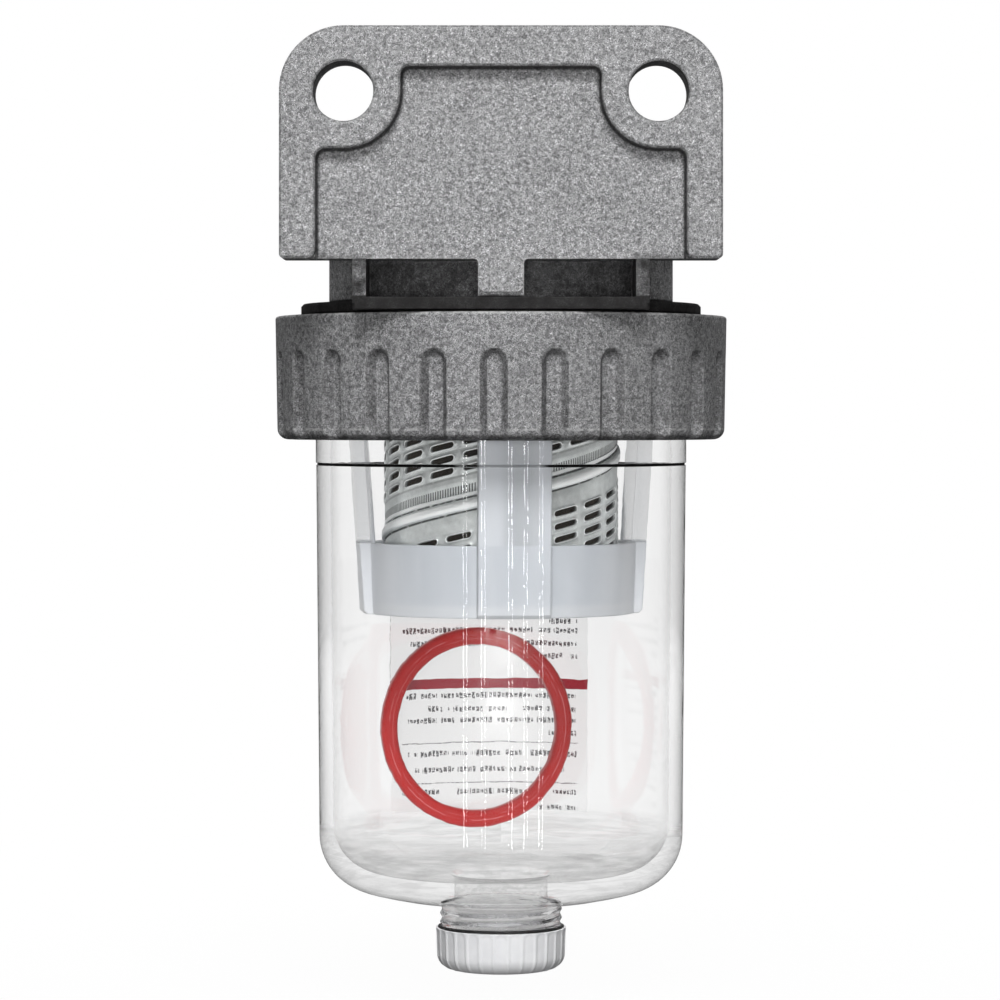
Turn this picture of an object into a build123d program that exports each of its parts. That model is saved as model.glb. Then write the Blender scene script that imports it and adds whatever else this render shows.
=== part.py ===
from build123d import *
from math import atan, ceil, cos, degrees, pi, radians, sin, sqrt, tan
import os

# Fuel water separator, in millimetres.
# The origin is midway between the two bolt holes, on the mounting face. The unit stands out
# along +Y from that face, +Z is up, and the bowl's upright axis lies at y = bowl_axis_depth.

# Bracket plate, one casting with the head
bolt_spacing = 60.0
bolt_hole_r = 5.75
hole_edge_bevel = 0.4
plate_half_width = 42.2
plate_above_holes = 12.45
plate_below_holes = 31.8
plate_thickness = 12.0
plate_top_corner_r = 12.3
plate_bottom_corner_r = 0.9
plate_edge_bevel = 0.5

# Recess in the plate's face, which leaves a raised frame round the holes
pocket_depth = 3.5
hole_pad_r = 10.9
pocket_top = 4.7
pocket_top_corner_r = 1.7
pocket_shoulder_r = 2.0
frame_leg_width = 6.9
leg_corner_r = 1.7
pocket_floor_round = 1.1

# Tab and rib below the middle of the plate
tab_width = 8.8
tab_drop = 6.3
tab_corner_r = 1.5
tab_root_r = 0.8

# Cored recesses in the back of the plate
back_pocket_depth = 4.5
back_pocket_corner_r = 2.5
back_pocket_margin = 3.0
back_pocket_width = 5.8

# Head
bowl_axis_depth = 47.5
head_wall = 4.0
head_top_drop = 5.0
head_dome_r = 6.0
head_ceiling = 5.0

# Flange, ledge and side ribs at the foot of the head
flange_drop = 39.3
flange_setback = 1.3
flange_thickness = 2.0
flange_bevel = 0.5
ledge_setback = 2.35
ledge_reach = 43.5
ledge_rise = 0.3
ledge_corner_r = 0.8
rib_thickness = 2.6
rib_top_drop = 12.5
middle_rib_setback = 1.5

# Threaded skirt, bowl seal seat and cage seat
skirt_relief_depth = 2.1
skirt_relief_height = 2.6
skirt_length = 16.8
skirt_wall = 8.2
cage_seat_width = 2.75
skirt_bore_depth = 14.1
seal_width = 2.6
seal_groove_depth = 2.2
seal_setback = 4.0

# Ports
port_drop = 18.3
port_boss_r = 10.4
port_boss_length = 8.75
port_thread_r = 6.25
port_thread_depth = 12.0
passage_r = 4.5
tunnel_wall = 2.6

# Outlet spigot and its boss inside the head
spigot_boss_r = 10.5
spigot_boss_drop = 28.0
spigot_r = 8.0
spigot_wall = 1.6
spigot_press_depth = 5.0
spigot_drop = 40.5
spigot_chamfer = 0.6
spigot_lip_r = 5.0
spigot_lip = 1.0

# Vent screw
bleed_x = 15.0
bleed_y = 10.0
bleed_boss_r = 7.0
bleed_boss_height = 2.0
bleed_screw_r = 2.5
bleed_length = 9.0
bleed_hex_flats = 10.0
bleed_hex_height = 5.0
bleed_crown_r = 5.6
bleed_crown_top_r = 4.8
bleed_crown_drop = 1.0
bleed_tip_bevel = 0.6
bleed_washer_r = 5.4
bleed_washer_thickness = 1.2

# Ring nut
nut_gap = 0.5
nut_height = 24.7
nut_top_r = 45.6
nut_taper = 0.45
nut_wall = 3.6
nut_top_bevel = 0.5
nut_bottom_round = 2.2
nut_lip_thickness = 4.0
nut_lip_clearance = 0.44
flute_count = 24
flute_width = 5.2
flute_depth = 1.2
flute_top_drop = 6.8
flute_turn = -1.7

# Bowl
bowl_line_step = 0.1
bowl_taper = 0.74
bowl_wall = 2.8
bowl_flange_setback = 1.7
bowl_flange_width = 2.54
bowl_flange_thickness = 3.9
bowl_line_drop = 4.7
bowl_line_height = 0.5
bowl_line_depth = 0.3
bowl_depth = 93.5
bowl_corner_r = 11.5
bottom_outer_slope = 14.0
bottom_inner_slope = 7.0
bottom_break_width = 14.22
bottom_blend_r = 80.0
bowl_inner_corner_r = 9.5
bowl_floor_thickness = 5.7
bowl_floor_slope = 3.0
drain_mouth_bevel = 0.9

# Drain neck, seal and cap
neck_r = 12.1
neck_exposed = 5.8
neck_thread_r = 11.6
neck_length = 11.3
neck_bore_r = 9.4
drain_seal_r = 12.75
drain_seal_height = 1.0
drain_seal_bevel = 0.25
drain_seal_proud = 0.35
cap_top_r = 13.16
cap_bottom_r = 12.9
cap_height = 8.35
cap_floor = 2.0
cap_bottom_round = 2.6
cap_rib_count = 28
cap_flute_depth = 0.3
cap_flute_width = 1.9
cap_plain_rim = 1.1

# Float ring, which lies against the back of the bowl
ring_outer_r = 20.8
ring_width = 3.5
ring_thickness = 3.6
ring_edge_bevel = 0.8
ring_turn = 12.5
ring_lift = 6.8

# Label on the bowl's far side
label_thickness = 0.12
label_left = 42.0
label_right = 31.5
label_top_gap = 21.0
label_foot_rise = 14.8

# Cage: a cup under the element, and four straps up to the head
cage_turn = 5.3
settling_height = 58.6
cup_height = 14.2
cup_setback = 1.2
cup_taper = 0.45
cup_wall = 1.9
cup_floor = 2.4
strap_width = 14.0
strap_thickness = 3.0
strap_setback = 4.9
strap_slope = 3.6
strap_bevel = 0.7
cage_ring_height = 4.0
cage_ring_width = 3.2
snap_bead = 0.5

# Element
tube_setback = 3.9
tube_wall = 0.6
tube_seat_drop = 0.8
tube_on_spigot = 6.1
seam_pitch = 34.0
seam_rise = 10.4
bead_width = 3.0
bead_height = 0.7
slot_length = 5.3
slot_height = 1.3
slots_per_turn = 20.5
slot_turn = 6.0
slot_rows = 9
first_row_rise = 7.2
row_step = 2.6
perforated_height = 25.0
perforated_margin = 1.6
pleat_count = 40
pleat_inner_r = 12.0
pleat_fold = 1.6
core_r = 11.2
core_wall = 0.5
core_windows = 6
core_window_width = 5.0
core_window_height = 12.0
core_window_rise = 17.9
end_cap_sheet = 0.6
end_cap_skirt = 5.0
end_cap_bevel = 0.4
grommet_width = 2.3
grommet_height = 5.2
lower_cap_setback = 0.1
lower_cap_flange = 1.6
lower_cap_lip = 2.0
lower_cap_wall = 2.0
lower_cap_web = 0.4

# Clearances
running_gap = 0.3
seat_gap = 0.05
sliding_gap = 0.2
thread_gap = 0.15
label_gap = 0.02

# How far cutters run past what they cut, and joined forms run into each other
past = 1.0
match = 0.01

# Radii worked out from the nut inwards
nut_bottom_r = nut_top_r - nut_taper
nut_bore_r = nut_top_r - nut_wall
skirt_thread_r = nut_bore_r - running_gap
skirt_relief_r = skirt_thread_r - skirt_relief_depth
flange_r = skirt_thread_r - flange_setback
seal_r = skirt_thread_r - seal_setback
skirt_bore_r = skirt_thread_r - skirt_wall
chamber_r = skirt_bore_r - cage_seat_width
head_r = chamber_r + head_wall
port_reach = head_r + port_boss_length
ledge_half_width = chamber_r - ledge_setback
back_web_width = 2 * (ledge_half_width - rib_thickness - back_pocket_margin - back_pocket_width)
bowl_flange_r = skirt_thread_r - bowl_flange_setback
bowl_upper_r = bowl_flange_r - bowl_flange_width
bowl_lower_top_r = bowl_upper_r - bowl_line_step
bowl_lower_bottom_r = bowl_lower_top_r - bowl_taper
bottom_break_r = bowl_lower_bottom_r - bottom_break_width
strap_foot_r = skirt_bore_r - strap_setback
cup_top_r = strap_foot_r - cup_setback
cup_bottom_r = cup_top_r - cup_taper
tube_r = cup_top_r - tube_setback
pleat_outer_r = tube_r - tube_wall - running_gap
lower_cap_r = tube_r - lower_cap_setback
lower_cap_skirt_r = lower_cap_r - lower_cap_lip

# Levels worked out from the head downwards, and from the bowl's foot up to the element
plate_bottom = -plate_below_holes
flange_top = -flange_drop
flange_bottom = flange_top - flange_thickness
skirt_foot = flange_bottom - skirt_length
cage_seat = skirt_foot + skirt_bore_depth
nut_top = flange_bottom - nut_gap
nut_bottom = nut_top - nut_height
lip_top = nut_bottom + nut_lip_thickness
bowl_flange_foot = lip_top + seat_gap
bowl_rim = bowl_flange_foot + bowl_flange_thickness
bowl_line_top = nut_bottom - bowl_line_drop
bowl_foot = nut_bottom - bowl_depth
neck_foot = bowl_foot - neck_length
head_top = -head_top_drop
cup_bottom = bowl_foot + settling_height
cup_top = cup_bottom + cup_height
cup_floor_top = cup_bottom + cup_floor
tube_foot = cup_top - tube_seat_drop
tube_top = -spigot_drop + tube_on_spigot
tube_length = tube_top - tube_foot
axis_offset = Pos(0, bowl_axis_depth, 0)


def outline(*corners):
    """Closed face in the XZ plane from corners given as (across, up, corner radius)."""
    points = [(across, up) for across, up, _ in corners]
    rounds = [corner_r for _, _, corner_r in corners]
    return Plane.XZ * make_face(FilletPolyline(*points, radius=rounds, close=True))


def turned(*corners):
    """Solid turned about the Z axis from corners given as (radius, height, corner radius)."""
    return revolve(outline(*corners), Axis.Z)


def eased(radius, level, size):
    """Corners of a foot edge on a turned piece, rounded by two flats in place of an arc."""
    half_way = size * (1 - cos(pi / 4))
    return [(radius - size, level, 0), (radius - half_way, level + half_way, 0), (radius, level + size, 0)]


def upright_rod(radius, foot, top):
    """Round bar along Z between two levels."""
    return Pos(0, 0, foot) * Cylinder(radius, top - foot, align=(Align.CENTER, Align.CENTER, Align.MIN))


def cross_rod(radius, start, end):
    """Round bar along X through the port centres, between two distances from the bowl axis."""
    rod = Rot(0, 90, 0) * Cylinder(radius, end - start, align=(Align.CENTER, Align.CENTER, Align.MIN))
    return Pos(start, 0, -port_drop) * rod


def block(x_range, y_range, z_range):
    """Box between three pairs of limits."""
    sizes = [high - low for low, high in (x_range, y_range, z_range)]
    corner = [low for low, _ in (x_range, y_range, z_range)]
    return Pos(*corner) * Box(*sizes, align=(Align.MIN, Align.MIN, Align.MIN))


def plate_outline():
    """The plate's outer shape."""
    return outline(
        (-plate_half_width, plate_bottom, plate_bottom_corner_r),
        (plate_half_width, plate_bottom, plate_bottom_corner_r),
        (plate_half_width, plate_above_holes, plate_top_corner_r),
        (-plate_half_width, plate_above_holes, plate_top_corner_r),
    )


def pocket_outline():
    """The recess in the plate's face: wide foot, narrower top, and a quarter circle round each hole."""
    leg = plate_half_width - frame_leg_width
    hole = bolt_spacing / 2
    shoulder = -hole_pad_r
    foot = plate_bottom - past
    wide = outline((-leg, foot, 0), (leg, foot, 0), (leg, shoulder, pocket_shoulder_r),
                   (-leg, shoulder, pocket_shoulder_r))
    inner = hole - hole_pad_r
    narrow = outline((-inner, shoulder - past, 0), (inner, shoulder - past, 0),
                     (inner, pocket_top, pocket_top_corner_r), (-inner, pocket_top, pocket_top_corner_r))
    corners = outline((-hole, shoulder - past, 0), (hole, shoulder - past, 0), (hole, 0, 0), (-hole, 0, 0))
    for side in (-1, 1):
        corners -= Plane.XZ * Pos(side * hole, 0) * Circle(hole_pad_r)
    return wide + narrow + corners


def leg_rounds():
    """What rounds the inner foot of each leg of the frame takes away."""
    leg = plate_half_width - frame_leg_width
    rounds = []
    for side in (-1, 1):
        square = Pos(side * (leg + leg_corner_r / 2), plate_bottom)
        square *= Rectangle(leg_corner_r, 2 * leg_corner_r)
        round_off = Pos(side * (leg + leg_corner_r), plate_bottom + leg_corner_r) * Circle(leg_corner_r)
        corner = Plane.XZ * (square - round_off)
        rounds.append(extrude(corner, amount=pocket_depth, dir=Vector(0, 1, 0)))
    return rounds


def tab_outline():
    """The tab that hangs from the middle of the plate, with rounded roots."""
    half = tab_width / 2
    foot = plate_bottom - tab_drop
    spread = half + 2 * tab_root_r
    return outline(
        (-half, foot, tab_corner_r), (half, foot, tab_corner_r), (half, plate_bottom, tab_root_r),
        (spread, plate_bottom, 0), (spread, plate_bottom + past, 0), (-spread, plate_bottom + past, 0),
        (-spread, plate_bottom, 0), (-half, plate_bottom, tab_root_r),
    )


def bracket_plate():
    """Raised frame, recessed middle, tab, cored back and two bolt holes."""
    back = Vector(0, 1, 0)
    web = Pos(0, pocket_depth, 0) * (plate_outline() + tab_outline())
    plate = extrude(web, amount=plate_thickness - pocket_depth, dir=back)
    frame = extrude(plate_outline() - pocket_outline(), amount=pocket_depth, dir=back)
    plate += frame
    floor_edges = plate.edges().filter_by_position(Axis.Y, pocket_depth - match, pocket_depth + match)
    floor_edges = floor_edges.filter_by(
        lambda e: plate_bottom + match < e.center().Z and e.bounding_box().max.Z < pocket_top + match)
    plate = fillet(floor_edges, pocket_floor_round)
    plate -= leg_rounds()
    rim_edges = plate.faces().sort_by(Axis.Y)[0].outer_wire().edges()
    plate = chamfer(rim_edges, plate_edge_bevel)
    for side in (-1, 1):
        hole = Pos(side * bolt_spacing / 2, 0, 0) * (Rot(-90, 0, 0) * Cylinder(
            bolt_hole_r, plate_thickness, align=(Align.CENTER, Align.CENTER, Align.MIN)))
        plate -= hole
    hole_edges = plate.edges().filter_by(GeomType.CIRCLE).filter_by(
        lambda e: abs(e.radius - bolt_hole_r) < match)
    return chamfer(hole_edges, hole_edge_bevel)


def back_pockets():
    """Two cored recesses in the plate's back, between the middle web and the side ribs."""
    inner = back_web_width / 2 + back_pocket_margin / 2
    outer = ledge_half_width - rib_thickness - back_pocket_margin / 2
    foot = plate_bottom + back_pocket_margin
    top = -rib_top_drop
    recess = Pos(0, plate_thickness - back_pocket_depth, 0) * outline(
        (inner, foot, back_pocket_corner_r), (outer, foot, back_pocket_corner_r),
        (outer, top, back_pocket_corner_r), (inner, top, back_pocket_corner_r))
    right = extrude(recess, amount=back_pocket_depth + past, dir=Vector(0, 1, 0))
    return right + mirror(right, Plane.YZ)


def head_shell():
    """Head cylinder with its flange, threaded skirt and dome, solid inside."""
    relief_foot = flange_bottom - skirt_relief_height
    return turned(
        (0, skirt_foot, 0), (skirt_thread_r, skirt_foot, 0), (skirt_thread_r, relief_foot, 0),
        (skirt_relief_r, relief_foot, 0), (skirt_relief_r, flange_bottom, 0), (flange_r, flange_bottom, 0),
        (flange_r, flange_top - flange_bevel, 0), (flange_r - flange_bevel, flange_top, 0),
        (head_r, flange_top, 0), (head_r, head_top, head_dome_r), (0, head_top, 0),
    )


def head_hollow():
    """The chamber over the element and the wider seat for the cage below it."""
    ceiling = head_top - head_ceiling
    hollow = turned(
        (0, skirt_foot - past, 0), (skirt_bore_r, skirt_foot - past, 0), (skirt_bore_r, cage_seat, 0),
        (chamber_r, cage_seat, 0), (chamber_r, ceiling - head_dome_r / 2, 0),
        (chamber_r - head_dome_r / 2, ceiling, 0), (0, ceiling, 0),
    )
    bead_level = cage_seat - cage_ring_height / 2
    groove_r = skirt_bore_r + snap_bead
    hollow += turned(
        (skirt_bore_r - past, bead_level - snap_bead, 0), (skirt_bore_r, bead_level - snap_bead, 0),
        (groove_r, bead_level, 0), (skirt_bore_r, bead_level + snap_bead, 0),
        (skirt_bore_r - past, bead_level + snap_bead, 0),
    )
    return hollow


def seal_seat():
    """Groove in the foot of the skirt for the bowl seal."""
    half = seal_width / 2 + seat_gap
    top = skirt_foot + seal_groove_depth
    return turned((seal_r - half, skirt_foot - past, 0), (seal_r + half, skirt_foot - past, 0),
                  (seal_r + half, top, 0), (seal_r - half, top, 0))


def side_ribs():
    """Two upright ribs that carry the plate on the ledge and the head."""
    front = bowl_axis_depth - ledge_reach
    inner = ledge_half_width - rib_thickness
    wall_y = bowl_axis_depth - sqrt(chamber_r ** 2 - ledge_half_width ** 2) - past
    low = block((inner, ledge_half_width), (front, wall_y), (flange_bottom + past, plate_bottom + past))
    high = block((inner, ledge_half_width), (plate_thickness - past, wall_y), (plate_bottom, -rib_top_drop))
    right = low + high
    return right + mirror(right, Plane.YZ)


def ledge():
    """The straight-edged part of the flange in front of the head."""
    front = bowl_axis_depth - ledge_reach
    top = flange_top + ledge_rise
    shelf = block((-ledge_half_width, ledge_half_width), (front, bowl_axis_depth), (flange_bottom, top))
    corners = shelf.edges().filter_by(Axis.Z).sort_by(Axis.Y)[:2]
    return fillet(corners, ledge_corner_r)


def middle_web():
    """Broad web behind the plate and the narrow rib under it, down to the ledge."""
    half = back_web_width / 2
    reach = bowl_axis_depth - sqrt(chamber_r ** 2 - half ** 2) - past
    broad = block((-half, half), (plate_thickness - past, reach), (plate_bottom, head_top - head_dome_r / 2))
    rib_half = tab_width / 2
    rib_depths = (pocket_depth + middle_rib_setback, bowl_axis_depth - chamber_r - past)
    narrow = block((-rib_half, rib_half), rib_depths, (flange_bottom + past, plate_bottom + past))
    return broad + narrow


def head_casting():
    """The plate, head, ribs, ports and skirt as one casting."""
    bosses = cross_rod(port_boss_r, -port_reach, port_reach)
    bleed_boss = Pos(bleed_x, bleed_y, 0) * upright_rod(
        bleed_boss_r, head_top - head_ceiling, head_top + bleed_boss_height)
    outside = axis_offset * (head_shell() + bosses + bleed_boss)
    outside += bracket_plate() - back_pockets()
    outside += [side_ribs(), middle_web(), ledge()]
    tunnel = cross_rod(passage_r + tunnel_wall, -chamber_r - past, 0)
    spigot_boss = upright_rod(spigot_boss_r, -spigot_boss_drop, head_top - past)
    hollow = head_hollow() - tunnel - spigot_boss
    hollow += seal_seat()
    thread_foot = port_reach - port_thread_depth
    for side in (-1, 1):
        start, end = sorted((side * thread_foot, side * (port_reach + past)))
        hollow += cross_rod(port_thread_r, start, end)
    hollow += cross_rod(passage_r, -thread_foot - past, 0)
    hollow += cross_rod(passage_r, chamber_r - 2 * past, thread_foot + past)
    hollow += upright_rod(passage_r, -spigot_boss_drop - past, -port_drop)
    hollow += upright_rod(spigot_r, -spigot_boss_drop - past, -spigot_boss_drop + spigot_press_depth)
    hollow += Pos(bleed_x, bleed_y, 0) * upright_rod(
        bleed_screw_r + seat_gap, head_top - head_ceiling - past, head_top + bleed_boss_height + past)
    return outside - axis_offset * hollow


def bowl_seal():
    """Square-section rubber ring, pressed between the skirt and the bowl's rim."""
    half = seal_width / 2
    top = skirt_foot + seal_groove_depth
    foot = bowl_rim
    ring = turned((seal_r - half, foot, 0), (seal_r + half, foot, 0), (seal_r + half, top, 0),
                  (seal_r - half, top, 0))
    return axis_offset * ring


def flute_cutter():
    """One upright groove of the ring nut: a bar with a ball at its top, just outside the nut's wall."""
    bar_r = (flute_width ** 2 / 4 + flute_depth ** 2) / (2 * flute_depth)
    centre_r = nut_top_r - flute_depth + bar_r
    ball_level = nut_top - flute_top_drop - flute_width / 2
    bar = upright_rod(bar_r, nut_bottom - past, ball_level) + Pos(0, 0, ball_level) * Sphere(bar_r)
    return Pos(0, -centre_r, 0) * bar


def ring_nut():
    """Fluted nut with a threaded bore and a lip that lifts the bowl."""
    pocket = bowl_flange_r + running_gap
    lip = bowl_upper_r + nut_lip_clearance
    thread_foot = skirt_foot - seat_gap
    nut = turned(
        (lip, nut_bottom, 0), *eased(nut_bottom_r, nut_bottom, nut_bottom_round),
        (nut_top_r, nut_top - nut_top_bevel, 0), (nut_top_r - nut_top_bevel, nut_top, 0),
        (nut_bore_r, nut_top, 0), (nut_bore_r, thread_foot, 0), (pocket, thread_foot, 0),
        (pocket, lip_top, 0), (lip, lip_top, 0),
    )
    step = 360 / flute_count
    flutes = [Rot(0, 0, flute_turn + index * step) * flute_cutter() for index in range(flute_count)]
    return axis_offset * (nut - flutes)


def bowl_corners():
    """Outer levels of the bowl's sloping bottom: at the neck, at the break in slope and at the wall."""
    break_level = bowl_foot + (bottom_break_r - neck_r) * tan(radians(bottom_inner_slope))
    wall_level = break_level + (bowl_lower_bottom_r - bottom_break_r) * tan(radians(bottom_outer_slope))
    return break_level, wall_level


def bowl():
    """Clear bowl: clamped flange, moulding line, tapered wall, domed bottom and drain neck."""
    break_level, wall_level = bowl_corners()
    line_foot = bowl_line_top - bowl_line_height
    groove_r = bowl_upper_r - bowl_line_depth
    inner_top_r = bowl_upper_r - bowl_wall
    inner_bottom_r = bowl_lower_bottom_r - bowl_wall
    floor = bowl_foot + bowl_floor_thickness
    floor_run = inner_bottom_r - neck_bore_r - drain_mouth_bevel
    floor_edge = floor + floor_run * tan(radians(bowl_floor_slope))
    shape = turned(
        (bowl_flange_r, bowl_rim, 0), (bowl_flange_r, bowl_flange_foot, 0),
        (bowl_upper_r, bowl_flange_foot, 0), (bowl_upper_r, bowl_line_top, 0), (groove_r, bowl_line_top, 0),
        (groove_r, line_foot, 0), (bowl_lower_top_r, line_foot, 0),
        (bowl_lower_bottom_r, wall_level, bowl_corner_r), (bottom_break_r, break_level, bottom_blend_r),
        (neck_r, bowl_foot, 0), (neck_r, bowl_foot - neck_exposed, 0),
        (neck_thread_r, bowl_foot - neck_exposed, 0), (neck_thread_r, neck_foot, 0),
        (neck_bore_r, neck_foot, 0), (neck_bore_r, floor - drain_mouth_bevel, 0),
        (neck_bore_r + drain_mouth_bevel, floor, 0),
        (inner_bottom_r, floor_edge, bowl_inner_corner_r), (inner_top_r, bowl_rim, 0),
    )
    return axis_offset * shape


def wall_r(level):
    """Outer radius of the bowl's tapered wall at a level."""
    _, wall_level = bowl_corners()
    top = bowl_line_top - bowl_line_height
    share = (top - level) / (top - wall_level)
    return bowl_lower_top_r + share * (bowl_lower_bottom_r - bowl_lower_top_r)


def bowl_label():
    """Label on the far side of the bowl's wall."""
    top = bowl_line_top - label_top_gap
    foot = bowl_foot + label_foot_rise
    inner_top, inner_foot = wall_r(top) + label_gap, wall_r(foot) + label_gap
    section = outline((inner_foot, foot, 0), (inner_foot + label_thickness, foot, 0),
                      (inner_top + label_thickness, top, 0), (inner_top, top, 0))
    sheet = revolve(section, Axis.Z, label_left + label_right)
    return axis_offset * (Rot(0, 0, 90 - label_right) * sheet)


def float_ring():
    """Flat ring on edge, facing the bowl's axis, with its far rim near the wall."""
    wall = bowl_lower_bottom_r - bowl_wall - running_gap
    reach = sqrt(wall ** 2 - ring_outer_r ** 2) - ring_thickness / 2
    half = ring_thickness / 2
    inner = ring_outer_r - ring_width
    bevel = ring_edge_bevel
    ring = turned((inner + bevel, -half, 0), (ring_outer_r - bevel, -half, 0),
                  (ring_outer_r, bevel - half, 0), (ring_outer_r, half - bevel, 0),
                  (ring_outer_r - bevel, half, 0), (inner + bevel, half, 0),
                  (inner, half - bevel, 0), (inner, bevel - half, 0))
    centre_level = bowl_foot + bowl_floor_thickness + ring_lift + ring_outer_r
    upright = Pos(0, reach, centre_level) * (Rot(90, 0, 0) * ring)
    return axis_offset * (Rot(0, 0, ring_turn) * upright)


def drain_seal():
    """Rubber ring round the neck, in the mouth of the drain cap."""
    foot = bowl_foot - neck_exposed + seat_gap
    top = foot + drain_seal_height
    inner = neck_r + seat_gap
    return axis_offset * turned(
        (inner, foot, 0), (drain_seal_r, foot, 0), (drain_seal_r, top - drain_seal_bevel, 0),
        (drain_seal_r - drain_seal_bevel, top, 0), (inner, top, 0))


def drain_cap():
    """Ribbed screw cap that closes the drain neck."""
    seal_foot = bowl_foot - neck_exposed
    top = seal_foot + seat_gap + drain_seal_height - drain_seal_proud
    foot = top - cap_height
    bore = neck_thread_r + thread_gap
    mouth = drain_seal_r + seat_gap
    cap = turned(
        (0, foot, 0), *eased(cap_bottom_r, foot, cap_bottom_round), (cap_top_r, top, 0), (mouth, top, 0),
        (mouth, seal_foot, 0), (bore, seal_foot, 0), (bore, foot + cap_floor, 0), (0, foot + cap_floor, 0),
    )
    bar_r = (cap_flute_width ** 2 / 4 + cap_flute_depth ** 2) / (2 * cap_flute_depth)
    centre_r = cap_top_r - cap_flute_depth + bar_r
    bar = Pos(0, -centre_r, 0) * upright_rod(bar_r, foot - past, top - cap_plain_rim)
    flutes = [Rot(0, 0, index * 360 / cap_rib_count) * bar for index in range(cap_rib_count)]
    return axis_offset * (cap - flutes)


def bleed_place():
    """Where the vent screw stands, at the top face of its boss."""
    return Pos(bleed_x, bowl_axis_depth + bleed_y, head_top + bleed_boss_height)


def bleed_washer():
    """Copper washer under the vent screw's head."""
    hole = bleed_screw_r + thread_gap
    ring = turned((hole, seat_gap, 0), (bleed_washer_r, seat_gap, 0),
                  (bleed_washer_r, bleed_washer_thickness, 0), (hole, bleed_washer_thickness, 0))
    return bleed_place() * ring


def bleed_screw():
    """Hexagon-headed vent screw."""
    seat = bleed_washer_thickness + seat_gap
    head = extrude(RegularPolygon(bleed_hex_flats / 2, 6, major_radius=False), amount=bleed_hex_height)
    shoulder = bleed_hex_height - bleed_crown_drop
    crown = turned((0, 0, 0), (bleed_crown_r, 0, 0), (bleed_crown_r, shoulder, 0),
                   (bleed_crown_top_r, bleed_hex_height, 0), (0, bleed_hex_height, 0))
    shank = upright_rod(bleed_screw_r, -bleed_length, past)
    shank = chamfer(shank.edges().sort_by(Axis.Z)[0], bleed_tip_bevel)
    return bleed_place() * Pos(0, 0, seat) * ((head & crown) + shank)


def outlet_spigot():
    """Turned tube pressed into the boss of the head, open into the outlet passage."""
    top = -spigot_boss_drop + spigot_press_depth
    foot = -spigot_drop
    bore = spigot_r - spigot_wall
    return axis_offset * turned(
        (spigot_lip_r, top, 0), (spigot_r, top, 0), (spigot_r, foot + spigot_chamfer, 0),
        (spigot_r - spigot_chamfer, foot, 0), (bore, foot, 0), (bore, top - spigot_lip, 0),
        (spigot_lip_r, top - spigot_lip, 0))


def upper_end_cap():
    """Pressed steel cap over the top of the element, with a hole for the grommet."""
    top = tube_top + seat_gap + end_cap_sheet
    outer = tube_r + seat_gap + end_cap_sheet
    hole = spigot_r + seat_gap + grommet_width / 2
    return axis_offset * turned(
        (hole, top, 0), (outer - end_cap_bevel, top, 0), (outer, top - end_cap_bevel, 0),
        (outer, tube_top - end_cap_skirt, 0),
        (outer - end_cap_sheet, tube_top - end_cap_skirt, 0), (outer - end_cap_sheet, top - end_cap_sheet, 0),
        (hole, top - end_cap_sheet, 0))


def element_grommet():
    """Rubber grommet in the end cap's hole, sealing on the spigot."""
    inner = spigot_r + seat_gap
    outer = inner + grommet_width
    groove = inner + grommet_width / 2 - seat_gap
    groove_foot = tube_top
    groove_top = tube_top + end_cap_sheet + 2 * seat_gap
    lip = (grommet_height - groove_top + groove_foot) / 2
    return axis_offset * turned(
        (inner, groove_foot - lip, 0), (outer, groove_foot - lip, 0), (outer, groove_foot, 0),
        (groove, groove_foot, 0), (groove, groove_top, 0), (outer, groove_top, 0),
        (outer, groove_top + lip, 0), (inner, groove_top + lip, 0))


def seam_level(angle):
    """Height of the lock seam's middle above the tube's foot, at an angle in degrees from the front."""
    return seam_rise + seam_pitch * angle / 360


def seam_bead():
    """The raised bead of the lock seam, climbing round the tube from below its foot."""
    start_level = -bead_width
    start_angle = (start_level - seam_rise) * 360 / seam_pitch
    path = Helix(seam_pitch, tube_length - 2 * start_level, tube_r - tube_wall / 2)
    section_plane = Plane(path @ 0, x_dir=(1, 0, 0), z_dir=path % 0)
    depth = bead_height + tube_wall / 2
    section = section_plane * Pos(depth / 2, 0) * Rectangle(depth, bead_width)
    return Pos(0, 0, start_level) * (Rot(0, 0, start_angle - 90) * sweep(section, path, is_frenet=True))


def perforated_tube():
    """Thin tube with a spiral lock seam and rows of slots that run beside it."""
    tube = upright_rod(tube_r, 0, tube_length)
    tube -= upright_rod(tube_r - tube_wall, -past, tube_length + past)
    tube += seam_bead() & upright_rod(2 * tube_r, 0, tube_length - end_cap_skirt - running_gap)
    slope = degrees(atan(seam_pitch / (2 * pi * tube_r)))
    slot = Pos(tube_r, 0, 0) * (Rot(slope, 0, 0) * Box(2 * past, slot_length, slot_height))
    steps = ceil((tube_length / seam_pitch + 1) * slots_per_turn)
    slots = []
    for row in range(slot_rows):
        rise = first_row_rise + row * row_step
        for step in range(-steps, steps):
            angle = slot_turn + step * 360 / slots_per_turn
            level = seam_level(angle) + rise
            if perforated_margin < level < perforated_height:
                slots.append(Pos(0, 0, level) * (Rot(0, 0, angle - 90) * slot))
    return axis_offset * Pos(0, 0, tube_foot) * (tube - slots)


def pleated_media():
    """Filter paper folded into a star, as long as the tube allows."""
    step = 180 / pleat_count
    radii = [(pleat_outer_r, pleat_inner_r + pleat_fold), (pleat_outer_r - pleat_fold, pleat_inner_r)]
    rings = []
    for crest, valley in radii:
        points = []
        for index in range(2 * pleat_count):
            reach = crest if index % 2 == 0 else valley
            points.append((reach * cos(radians(index * step)), reach * sin(radians(index * step))))
        rings.append(make_face(Polyline(*points, close=True)))
    star = rings[0] - rings[1]
    return axis_offset * Pos(0, 0, tube_foot + seat_gap) * extrude(star, amount=tube_length - 2 * seat_gap)


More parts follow.
